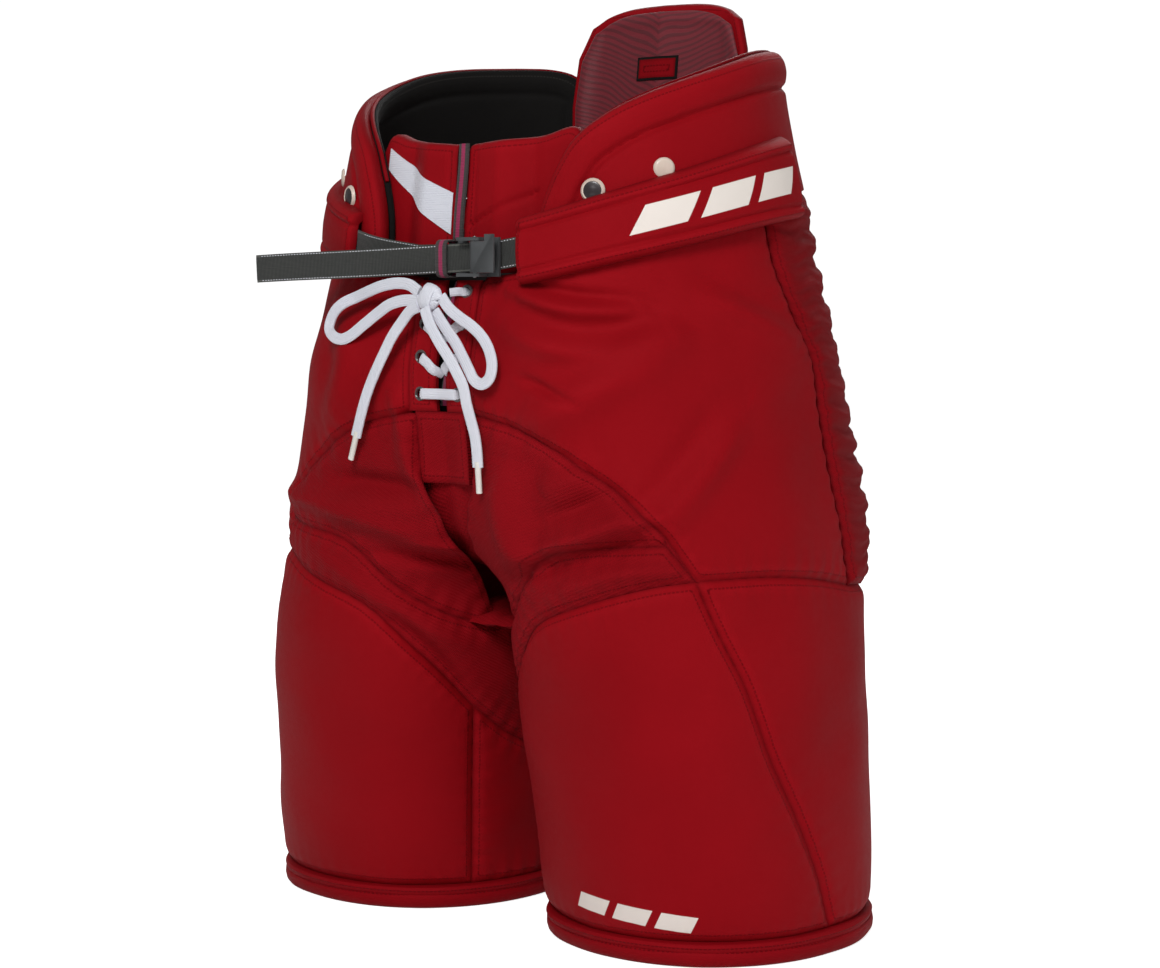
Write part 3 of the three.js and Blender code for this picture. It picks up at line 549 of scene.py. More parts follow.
def smooth_path(points: Sequence[Sequence[float]], step: float) -> Array:
    """Evenly spaced points on a smooth line through given points.

    Args:
        points: The points.
        step: Spacing along the line.

    Returns:
        Points as rows.
    """
    p = np.asarray(points, float)
    p = np.vstack([2 * p[0] - p[1], p, 2 * p[-1] - p[-2]])
    knots = np.concatenate([[0], np.cumsum(np.linalg.norm(np.diff(p, axis=0), axis=1) ** 0.5)])
    line = []
    for i in range(1, len(p) - 2):
        k = knots[i - 1:i + 3]
        for t in np.linspace(k[1], k[2], 12, endpoint=False):
            a = [p[i - 1 + j] + (p[i + j] - p[i - 1 + j]) * (t - k[j]) / (k[j + 1] - k[j]) for j in range(3)]
            b = [a[j] + (a[j + 1] - a[j]) * (t - k[j]) / (k[j + 2] - k[j]) for j in range(2)]
            line.append(b[0] + (b[1] - b[0]) * (t - k[1]) / (k[2] - k[1]))
    line = np.array([*line, p[-2]])
    length = np.concatenate([[0], np.cumsum(np.linalg.norm(np.diff(line, axis=0), axis=1))])
    count = max(int(round(length[-1] / step)), 4)
    wanted = np.linspace(0, length[-1], count + 1)
    return np.stack([np.interp(wanted, length, line[:, k]) for k in range(3)], -1)


def ribbon(name: str, path: Array, normals: Array, width: float, thick: float,
           sides: int = 12, power: float = 2.6) -> bpy.types.Object:
    """A flat strip swept along a path.

    Args:
        name: The piece's name.
        path: The strip's middle line, as rows.
        normals: The direction that the flat side faces at each point.
        width: The strip's width.
        thick: The strip's thickness.
        sides: Faces round the strip.
        power: How square its section is, 2 for an oval.

    Returns:
        The piece, with its length as the first cloth coordinate.
    """
    tangent = np.gradient(path, axis=0)
    tangent /= np.linalg.norm(tangent, axis=1, keepdims=True)
    across = np.cross(tangent, normals)
    across /= np.linalg.norm(across, axis=1, keepdims=True)
    facing = np.cross(across, tangent)
    turns = np.linspace(0, 2 * math.pi, sides, endpoint=False)
    c, s = np.cos(turns), np.sin(turns)
    shape = (np.abs(c) ** power + np.abs(s) ** power) ** (-1 / power)
    run = np.concatenate([[0], np.cumsum(np.linalg.norm(np.diff(path, axis=0), axis=1))])
    bm = bmesh.new()
    along_layer = bm.verts.layers.float.new("along_mm")
    across_layer = bm.verts.layers.float.new("seam_mm")
    bmesh.ops.create_circle(bm, segments=sides, radius=1, cap_ends=True)
    front = bm.faces[:]
    loops = [[v for v in bm.verts]]
    for _ in range(len(path) - 1):
        made = bmesh.ops.extrude_face_region(bm, geom=front)["geom"]
        front = [g for g in made if isinstance(g, bmesh.types.BMFace)]
        loops.append([g for g in made if isinstance(g, bmesh.types.BMVert)])
        bmesh.ops.translate(bm, verts=loops[-1], vec=(0, 0, 1))
    for k, verts in enumerate(loops):
        for vert in verts:
            turn = math.atan2(vert.co.y, vert.co.x) % (2 * math.pi)
            i = int(round(turn / (2 * math.pi) * sides)) % sides
            reach = c[i] * shape[i] * width / 2
            offset = across[k] * reach + facing[k] * s[i] * shape[i] * thick / 2
            vert.co = Vector((path[k] + offset) * MM)
            vert[along_layer], vert[across_layer] = run[k], reach
    bmesh.ops.recalc_face_normals(bm, faces=bm.faces[:])
    piece = finish_mesh(name, bm, 60)
    size = len(piece.data.vertices)
    chart = np.empty((size, 2))
    for column, key in enumerate(("along_mm", "seam_mm")):
        values = np.empty(size, np.float32)
        piece.data.attributes[key].data.foreach_get("value", values)
        chart[:, column] = values
    put_chart(piece.data, chart)
    return piece


def joined(name: str, parts: Sequence[bpy.types.Object]) -> bpy.types.Object:
    """Joins pieces into one object with the first piece's materials kept by face.

    Args:
        name: The joined piece's name.
        parts: The pieces, all at the origin.

    Returns:
        The joined piece.
    """
    with bpy.context.temp_override(active_object=parts[0], selected_editable_objects=list(parts)):
        bpy.ops.object.join()
    parts[0].name = name
    parts[0].data.name = name
    return parts[0]


def stitch_row(name: str, path: Array, normals: Array, pitch: float, length: float,
               radius: float) -> bpy.types.Object:
    """A row of short thread stitches laid on a surface.

    Args:
        name: The row's name.
        path: The line of the row, finely spaced.
        normals: The surface's outward directions along it.
        pitch: Distance between the starts of two stitches.
        length: Length of one stitch.
        radius: Half the thread's thickness.

    Returns:
        The row as one piece.
    """
    run = np.concatenate([[0], np.cumsum(np.linalg.norm(np.diff(path, axis=0), axis=1))])
    count = int(run[-1] // pitch)
    mids = (np.arange(count) + 0.5) * pitch
    place = np.stack([np.interp(mids, run, path[:, k]) for k in range(3)], -1)
    ahead = np.stack([np.interp(mids + 0.3, run, path[:, k]) for k in range(3)], -1) - place
    facing = np.stack([np.interp(mids, run, normals[:, k]) for k in range(3)], -1)
    bm = bmesh.new()
    for centre, along, out in zip(place, ahead, facing):
        x = Vector(along).normalized()
        z = (Vector(out) - x * x.dot(Vector(out))).normalized()
        turn = Matrix((x, z.cross(x), z)).transposed().to_4x4()
        size = Matrix.Diagonal((length / 2, radius, radius * 0.8, 1))
        shift = Matrix.Translation(Vector(centre + out * radius * 0.3) * MM)
        bmesh.ops.create_icosphere(bm, subdivisions=1, radius=MM, matrix=shift @ turn @ size)
    return finish_mesh(name, bm, 80)


# ------------------------------------------------------------------ finishes
class Graph:
    """A node tree, with short calls to add and wire its nodes."""

    def __init__(self, tree: bpy.types.NodeTree) -> None:
        """Wraps a tree."""
        self.tree = tree

    def add(self, kind: str, **inputs: object) -> bpy.types.Node:
        """Adds a node.

        Args:
            kind: The node's type, without its prefix.
            **inputs: Values or sockets for its inputs, by name with underscores for spaces.

        Returns:
            The node.
        """
        node = self.tree.nodes.new(f"ShaderNode{kind}")
        for name, value in inputs.items():
            self.feed(node.inputs[name.replace("_", " ")], value)
        return node

    def feed(self, socket: bpy.types.NodeSocket, value: object) -> None:
        """Sets a socket to a value, or links another socket to it."""
        if isinstance(value, bpy.types.NodeSocket):
            self.tree.links.new(value, socket)
        else:
            socket.default_value = value

    def math(self, operation: str, a: object, b: object = 0.0, clamp: bool = False) -> bpy.types.NodeSocket:
        """The result of one sum."""
        node = self.tree.nodes.new("ShaderNodeMath")
        node.operation = operation
        node.use_clamp = clamp
        self.feed(node.inputs[0], a)
        self.feed(node.inputs[1], b)
        return node.outputs[0]

    def mix(self, share: object, a: object, b: object) -> bpy.types.NodeSocket:
        """A colour between a and b."""
        node = self.tree.nodes.new("ShaderNodeMix")
        node.data_type = "RGBA"
        self.feed(node.inputs["Factor"], share)
        self.feed(node.inputs[6], a)
        self.feed(node.inputs[7], b)
        return node.outputs[2]

    def band(self, value: object, low: float, high: float, soft: float) -> bpy.types.NodeSocket:
        """1 where value lies between low and high, with soft edges, and 0 outside."""
        rise = self.add("MapRange", Value=value, From_Min=low - soft, From_Max=low + soft)
        fall = self.add("MapRange", Value=value, From_Min=high + soft, From_Max=high - soft)
        return self.math("MULTIPLY", rise.outputs[0], fall.outputs[0])

    def attribute(self, name: str) -> bpy.types.NodeSocket:
        """The number stored at each vertex under a name."""
        node = self.tree.nodes.new("ShaderNodeAttribute")
        node.attribute_name = name
        return node.outputs["Fac"]


def new_group(name: str, inputs: Sequence[tuple[str, str, float]], outputs: Sequence[str]
              ) -> tuple[Graph, bpy.types.Node, bpy.types.Node]:
    """Starts a shader node group.

    Args:
        name: The group's name.
        inputs: Each input's name, socket kind and default.
        outputs: Names of the float outputs.

    Returns:
        The graph with its input and output nodes.
    """
    tree = bpy.data.node_groups.new(name, "ShaderNodeTree")
    for label, kind, default in inputs:
        socket = tree.interface.new_socket(name=label, in_out="INPUT", socket_type=f"NodeSocket{kind}")
        if kind == "Float":
            socket.default_value = default
    for label in outputs:
        tree.interface.new_socket(name=label, in_out="OUTPUT", socket_type="NodeSocketFloat")
    return Graph(tree), tree.nodes.new("NodeGroupInput"), tree.nodes.new("NodeGroupOutput")


def weave_group() -> bpy.types.NodeTree:
    """Crossing threads: a plain weave that turns into a knit as Rib rises."""
    g, start, end = new_group(
        "weave", [("Cloth", "Vector", 0), ("Thread", "Float", 1.0), ("Rib", "Float", 0.0)], ["Height"])
    scaled = g.tree.nodes.new("ShaderNodeVectorMath")
    scaled.operation = "SCALE"
    g.feed(scaled.inputs[0], start.outputs["Cloth"])
    g.feed(scaled.inputs["Scale"], g.math("DIVIDE", 2 * math.pi, start.outputs["Thread"]))
    xyz = g.add("SeparateXYZ", Vector=scaled.outputs[0])
    across = g.math("SINE", xyz.outputs[0])
    up = g.math("SINE", g.math("ADD", xyz.outputs[1], g.math("MULTIPLY", xyz.outputs[0], start.outputs["Rib"])))
    crossing = g.math("MULTIPLY", across, up)
    g.feed(end.inputs["Height"], g.math("ADD", g.math("MULTIPLY", crossing, 0.5), 0.5))
    return g.tree


def mottle_group() -> bpy.types.NodeTree:
    """Uneven dye and soft handling marks, at two sizes."""
    g, start, end = new_group("mottle", [("Place", "Vector", 0), ("Scale", "Float", 8.0)], ["Mask", "Fine"])
    large = g.add("TexNoise", Vector=start.outputs["Place"], Scale=start.outputs["Scale"], Detail=3.0,
                  Roughness=0.55)
    fine = g.add("TexNoise", Vector=start.outputs["Place"],
                 Scale=g.math("MULTIPLY", start.outputs["Scale"], 30.0), Detail=2.0)
    g.feed(end.inputs["Mask"], large.outputs["Fac"])
    g.feed(end.inputs["Fine"], fine.outputs["Fac"])
    return g.tree


def crumple_group() -> bpy.types.NodeTree:
    """Small creases of thin cloth over foam."""
    g, start, end = new_group("crumple", [("Place", "Vector", 0), ("Scale", "Float", 14.0)], ["Height"])
    bend = g.add("TexNoise", Vector=start.outputs["Place"], Scale=start.outputs["Scale"], Detail=4.0,
                 Roughness=0.5, Distortion=0.6)
    ridge = g.math("ABSOLUTE", g.math("SUBTRACT", bend.outputs["Fac"], 0.5))
    g.feed(end.inputs["Height"], g.math("SUBTRACT", 0.5, ridge))
    return g.tree


def seam_group() -> bpy.types.NodeTree:
    """A seam's painted shade darkening the sewn-in hollow along it, the worn rise beside it and a row of thread beyond
    that.
    """
    g, start, end = new_group(
        "seam", [("Across", "Float", 0), ("Along", "Float", 0), ("Offset", "Float", 5), ("Pitch", "Float", 3)],
        ["Valley", "Rise", "Thread"])
    across = start.outputs["Across"]
    # Painted shade mask: 1 at the seam line, fading to 0 at 2.2 mm, for darkening the sewn-in hollow.
    valley_shade = g.add("MapRange", Value=across, From_Min=0.0, From_Max=2.2, To_Min=1.0, To_Max=0.0)
    g.feed(end.inputs["Valley"], valley_shade.outputs[0])
    g.feed(end.inputs["Rise"], g.band(across, 3.0, 9.0, 2.5))
    off = g.math("ABSOLUTE", g.math("SUBTRACT", across, start.outputs["Offset"]))
    line = g.add("MapRange", Value=off, From_Min=0.35, From_Max=0.7, To_Min=1.0, To_Max=0.0)
    step = g.math("FRACT", g.math("DIVIDE", start.outputs["Along"], start.outputs["Pitch"]))
    dash = g.band(step, 0.15, 0.85, 0.08)
    g.feed(end.inputs["Thread"], g.math("MULTIPLY", line.outputs[0], dash))
    return g.tree


GROUP_MAKERS = {"weave": weave_group, "mottle": mottle_group, "crumple": crumple_group, "seam": seam_group}


def place_group(g: Graph, name: str, **inputs: object) -> bpy.types.Node:
    """Places a shared effect in a material, building it at its first use.

    Args:
        g: The material's graph.
        name: The effect.
        **inputs: Its inputs.

    Returns:
        The group node.
    """
    tree = bpy.data.node_groups.get(name) or GROUP_MAKERS[name]()
    node = g.tree.nodes.new("ShaderNodeGroup")
    node.node_tree = tree
    for key, value in inputs.items():
        g.feed(node.inputs[key], value)
    return node


def linear(red: int, green: int, blue: int) -> tuple[float, float, float, float]:
    """A colour given as it looks on a screen, from 0 to 255, as a shader's colour."""
    values = [c / 255 for c in (red, green, blue)]
    return (*[v / 12.92 if v < 0.04 else ((v + 0.055) / 1.055) ** 2.4 for v in values], 1.0)


def start_material(name: str) -> tuple[bpy.types.Material, Graph, bpy.types.Node]:
    """A new material with its graph and its Principled shader."""
    material = bpy.data.materials.new(name)
    material.use_nodes = True
    g = Graph(material.node_tree)
    return material, g, material.node_tree.nodes["Principled BSDF"]


@dataclass(frozen=True)
class Bars:
    """Slanted pale bars printed on a cloth, in its own coordinates in millimetres.

    start and end are across the cloth, low and high up it; lean slants each bar and tilt the row.
    """

    start: float
    end: float
    low: float
    high: float
    pitch: float
    width: float
    lean: float = 0.5
    tilt: float = 0.0

    def mask(self, g: Graph, cloth: bpy.types.NodeSocket) -> bpy.types.NodeSocket:
        """1 inside the bars and 0 outside."""
        xyz = g.add("SeparateXYZ", Vector=cloth)
        level = g.math("SUBTRACT", xyz.outputs[1], g.math("MULTIPLY", xyz.outputs[0], self.tilt))
        run = g.math("SUBTRACT", xyz.outputs[0], g.math("MULTIPLY", level, self.lean))
        share = g.math("FRACT", g.math("DIVIDE", g.math("SUBTRACT", run, self.start), self.pitch))
        bar = g.band(share, 0.0, self.width / self.pitch, 0.006)
        row = g.math("MULTIPLY", g.band(run, self.start, self.end, 0.2), g.band(level, self.low, self.high, 0.2))
        return g.math("MULTIPLY", bar, row)


@dataclass(frozen=True)
class Cloth:
    """A cloth finish. Colours are as seen, 0 to 255; thread and pitch are millimetres."""

    name: str
    colour: tuple[int, int, int]
    shade: tuple[int, int, int]
    thread_colour: tuple[int, int, int]
    thread: float = 0.9
    rib: float = 0.0
    weave: float = 0.12
    crumple: float = 0.25
    roughness: float = 0.62
    sheen: float = 0.02
    stitched: bool = True
    mottle_scale: float = 9.0
    bars: Optional[Bars] = None

    def build(self) -> bpy.types.Material:
        """Makes the material."""
        material, g, shader = start_material(self.name)
        place = g.add("TexCoord").outputs["Object"]
        uv = g.tree.nodes.new("ShaderNodeUVMap")
        uv.uv_map = "cloth"
        weave = place_group(g, "weave", Cloth=uv.outputs[0], Thread=self.thread, Rib=self.rib)
        mottle = place_group(g, "mottle", Place=place, Scale=self.mottle_scale)
        crumple = place_group(g, "crumple", Place=place, Scale=16.0)
        dye = g.mix(mottle.outputs["Mask"], linear(*self.shade), linear(*self.colour))
        threads = g.mix(g.math("MULTIPLY", weave.outputs[0], 0.16), dye, linear(*self.shade))
        colour = threads
        height = g.math("MULTIPLY", weave.outputs[0], self.weave)
        height = g.math("ADD", height, g.math("MULTIPLY", crumple.outputs[0], self.crumple * 6))
        if self.stitched:
            seam = place_group(g, "seam", Across=g.attribute("seam_mm"), Along=g.attribute("along_mm"))
            # Mask of the painted shade darkened into the sewn-in hollow along each seam.
            valley_shade = g.math("MULTIPLY", seam.outputs["Valley"], 0.4)
            worn = g.math("MULTIPLY", g.math("MULTIPLY", seam.outputs["Rise"], mottle.outputs["Fine"]), 0.16)
            light = linear(*[min(255, round(c * 1.18 + 10)) for c in self.colour])
            colour = g.mix(worn, threads, light)
            # Painted shade: the sewn-in hollow along the seam is mixed up to 0.4 towards 0.45 times the shade colour.
            colour = g.mix(valley_shade, colour, linear(*[round(c * 0.45) for c in self.shade]))
            colour = g.mix(g.math("MULTIPLY", seam.outputs["Thread"], 0.7), colour, linear(*self.thread_colour))
            height = g.math("ADD", height, g.math("MULTIPLY", seam.outputs["Thread"], 0.35))
        if self.bars is not None:
            colour = g.mix(self.bars.mask(g, uv.outputs[0]), colour, linear(236, 228, 220))
        g.feed(shader.inputs["Base Color"], colour)
        rough = g.add("MapRange", Value=mottle.outputs["Fine"], To_Min=self.roughness - 0.06,
                      To_Max=self.roughness + 0.08)
        g.feed(shader.inputs["Roughness"], rough.outputs[0])
        shader.inputs["Sheen Weight"].default_value = self.sheen
        shader.inputs["Sheen Roughness"].default_value = 0.45
        shader.inputs["Sheen Tint"].default_value = linear(*[min(255, c + 70) for c in self.colour])
        shader.inputs["Specular IOR Level"].default_value = 0.24
        shader.inputs["Specular Tint"].default_value = linear(*[min(255, c + 90) for c in self.colour])
        bump = g.add("Bump", Strength=0.7, Distance=MM, Height=height)
        g.feed(shader.inputs["Normal"], bump.outputs[0])
        return material


@dataclass(frozen=True)
class Striped:
    """A woven tape or webbing whose stripes run along it, at distances from its middle."""

    name: str
    ground: tuple[int, int, int]
    stripe: tuple[int, int, int]
    low: float
    high: float
    rib: float = 1.3

    def build(self) -> bpy.types.Material:
        """Makes the material."""
        material, g, shader = start_material(self.name)
        place = g.add("TexCoord").outputs["Object"]
        across = g.math("ABSOLUTE", g.attribute("seam_mm"))
        along = g.attribute("along_mm")
        ribs = g.math("SINE", g.math("MULTIPLY", along, 2 * math.pi / self.rib))
        lines = g.math("SINE", g.math("MULTIPLY", across, 2 * math.pi / 0.9))
        mottle = place_group(g, "mottle", Place=place, Scale=12.0)
        ground = g.mix(mottle.outputs["Mask"], linear(*[round(c * 0.8) for c in self.ground]), linear(*self.ground))
        inside = g.band(across, self.low, self.high, 0.15)
        colour = g.mix(inside, ground, linear(*self.stripe))
        shadow = g.math("MULTIPLY", g.math("ADD", g.math("MULTIPLY", ribs, 0.5), 0.5), 0.25)
        colour = g.mix(shadow, colour, linear(*[round(c * 0.5) for c in self.ground]))
        g.feed(shader.inputs["Base Color"], colour)
        rough = g.add("MapRange", Value=mottle.outputs["Fine"], To_Min=0.62, To_Max=0.8)
        g.feed(shader.inputs["Roughness"], rough.outputs[0])
        shader.inputs["Sheen Weight"].default_value = 0.15
        height = g.math("ADD", g.math("MULTIPLY", ribs, 0.18), g.math("MULTIPLY", lines, 0.1))
        bump = g.add("Bump", Strength=0.8, Distance=MM, Height=height)
        g.feed(shader.inputs["Normal"], bump.outputs[0])
        return material


@dataclass(frozen=True)
class Hard:
    """A moulded or metal finish, worn on its edges."""

    name: str
    colour: tuple[int, int, int]
    worn: tuple[int, int, int]
    roughness: float
    metallic: float = 0.0
    grain: float = 0.05
    coat: float = 0.0

    def build(self) -> bpy.types.Material:
        """Makes the material."""
        material, g, shader = start_material(self.name)
        place = g.add("TexCoord").outputs["Object"]
        mottle = place_group(g, "mottle", Place=place, Scale=40.0)
        point = g.tree.nodes.new("ShaderNodeNewGeometry").outputs["Pointiness"]
        edge = g.add("MapRange", Value=point, From_Min=0.52, From_Max=0.62)
        wear = g.math("MULTIPLY", edge.outputs[0], mottle.outputs["Mask"])
        base = g.mix(mottle.outputs["Mask"], linear(*[round(c * 0.85) for c in self.colour]), linear(*self.colour))
        g.feed(shader.inputs["Base Color"], g.mix(wear, base, linear(*self.worn)))
        rough = g.add("MapRange", Value=mottle.outputs["Fine"], To_Min=self.roughness - 0.06,
                      To_Max=self.roughness + 0.1)
        g.feed(shader.inputs["Roughness"], rough.outputs[0])
        shader.inputs["Metallic"].default_value = self.metallic
        shader.inputs["Coat Weight"].default_value = self.coat
        bump = g.add("Bump", Strength=0.5, Distance=MM, Height=g.math("MULTIPLY", mottle.outputs["Fine"], self.grain))
        g.feed(shader.inputs["Normal"], bump.outputs[0])
        return material


@dataclass(frozen=True)
class Printed:
    """A lining printed tone on tone with wavy contour lines and chevrons."""

    name: str
    colour: tuple[int, int, int]
    line: tuple[int, int, int]

    def build(self) -> bpy.types.Material:
        """Makes the material."""
        material, g, shader = start_material(self.name)
        place = g.add("TexCoord").outputs["Object"]
        uv = g.tree.nodes.new("ShaderNodeUVMap")
        uv.uv_map = "cloth"
        xyz = g.add("SeparateXYZ", Vector=uv.outputs[0])
        chevron = g.math("MULTIPLY", g.math("ABSOLUTE", xyz.outputs[0]), -0.45)
        bend = g.add("TexNoise", Vector=place, Scale=13.0, Detail=1.0)
        swell = g.math("MULTIPLY", bend.outputs["Fac"], 46.0)
        field = g.math("ADD", g.math("ADD", xyz.outputs[1], chevron), swell)
        wave = g.math("SINE", g.math("MULTIPLY", field, 2 * math.pi / 4.6))
        ink = g.add("MapRange", Value=wave, From_Min=-0.1, From_Max=0.5)
        mottle = place_group(g, "mottle", Place=place, Scale=10.0)
        weave = place_group(g, "weave", Cloth=uv.outputs[0], Thread=0.8)
        base = g.mix(mottle.outputs["Mask"], linear(*[round(c * 0.85) for c in self.colour]), linear(*self.colour))
        g.feed(shader.inputs["Base Color"], g.mix(ink.outputs[0], base, linear(*self.line)))
        rough = g.add("MapRange", Value=mottle.outputs["Fine"], To_Min=0.5, To_Max=0.66)
        g.feed(shader.inputs["Roughness"], rough.outputs[0])
        shader.inputs["Sheen Weight"].default_value = 0.2
        height = g.math("ADD", g.math("MULTIPLY", weave.outputs[0], 0.1), g.math("MULTIPLY", ink.outputs[0], 0.12))
        bump = g.add("Bump", Strength=0.7, Distance=MM, Height=height)
        g.feed(shader.inputs["Normal"], bump.outputs[0])
        return material


FINISHES = {
    Slot.SHELL: Cloth("red shell", (152, 13, 23), (130, 8, 16), (104, 6, 12)),
    Slot.TRIM: Cloth("red trim", (144, 11, 21), (122, 7, 15), (98, 6, 12), crumple=0.15),
    Slot.MESH: Cloth("red stretch mesh", (148, 14, 24), (118, 9, 16), (100, 7, 13), thread=2.2, rib=0.5,
                     weave=0.5, crumple=0.2, roughness=0.7, sheen=0.05),
    Slot.GATHER: Cloth("dark red gather", (140, 11, 20), (114, 7, 14), (96, 6, 12), thread=1.4, weave=0.3,
                       roughness=0.7),
    Slot.LINER: Cloth("black liner", (32, 31, 30), (20, 19, 19), (50, 48, 46), thread=1.1, weave=0.3,
                      roughness=0.8, sheen=0.3),
    Slot.LINING: Cloth("dark lining", (52, 48, 48), (36, 33, 33), (70, 66, 64), thread=1.0, weave=0.2,
                       roughness=0.75, stitched=False),
    Slot.PRINT: Printed("crimson print", (126, 14, 34), (92, 8, 24)),
    Slot.WEBBING: Striped("grey webbing", (44, 46, 42), (92, 94, 88), 8.4, 9.4),
    Slot.TAPE: Striped("striped tape", (62, 54, 54), (165, 22, 82), -1.0, 1.7, 1.1),
    Slot.BUCKLE: Hard("buckle plastic", (52, 54, 55), (92, 94, 96), 0.45, grain=0.08),
    Slot.SNAP_DARK: Hard("dark stud", (44, 34, 37), (120, 112, 110), 0.32, coat=0.3),
    Slot.SNAP_PALE: Hard("cream stud", (226, 206, 190), (240, 228, 214), 0.35, coat=0.2),
    Slot.GUARD: Hard("white guard", (226, 222, 214), (240, 238, 232), 0.5),
    Slot.PIN: Hard("steel pin", (150, 152, 154), (190, 192, 194), 0.3, metallic=1.0),
    Slot.LACE: Cloth("white lace", (238, 239, 246), (214, 216, 228), (200, 200, 210), thread=1.6, rib=1.0,
                     weave=0.5, crumple=0.0, roughness=0.7, sheen=0.2, stitched=False),
    Slot.TIP: Hard("lace tip", (240, 236, 228), (250, 248, 244), 0.25, coat=0.5),
}


# ------------------------------------------------------------------ panels
@dataclass
class Spots:
    """Where a panel's vertices lie.

    Holds the shares across and up, the chart point, the bare skin point, the distance to each
    of the four seams and, along the nearest of them, how far round it.
    """

    u: Array
    v: Array
    angle: Array
    z: Array
    points: Array
    gaps: dict[str, Array]
    along: Array

    def nearest(self, *names: str) -> Array:
        """The distance to the nearest of the named edges, or of all four."""
        return np.min([self.gaps[name] for name in names or self.gaps], axis=0)


Depth = Callable[[Spots], Array]
Line = Sequence[Sequence[float]]


def distance_to(points: Array, line: Array) -> tuple[Array, Array]:
    """Distances from points to a line of points.

    Args:
        points: Rows.
        line: The line's points, as rows.

    Returns:
        The distances, and how far along the line each nearest place is.
    """
    a, b = line[:-1], line[1:]
    run = b - a
    size = np.maximum((run**2).sum(-1), 1e-9)
    lengths = np.concatenate([[0], np.cumsum(np.sqrt(size))])
    best = np.full(len(points), np.inf)
    where = np.zeros(len(points))
    for k in range(len(a)):
        share = np.clip(((points - a[k]) * run[k]).sum(-1) / size[k], 0, 1)
        gap = np.linalg.norm(points - a[k] - share[:, None] * run[k], axis=-1)
        closer = gap < best
        best = np.where(closer, gap, best)
        where = np.where(closer, lengths[k] + share * math.sqrt(size[k]), where)
    return best, where


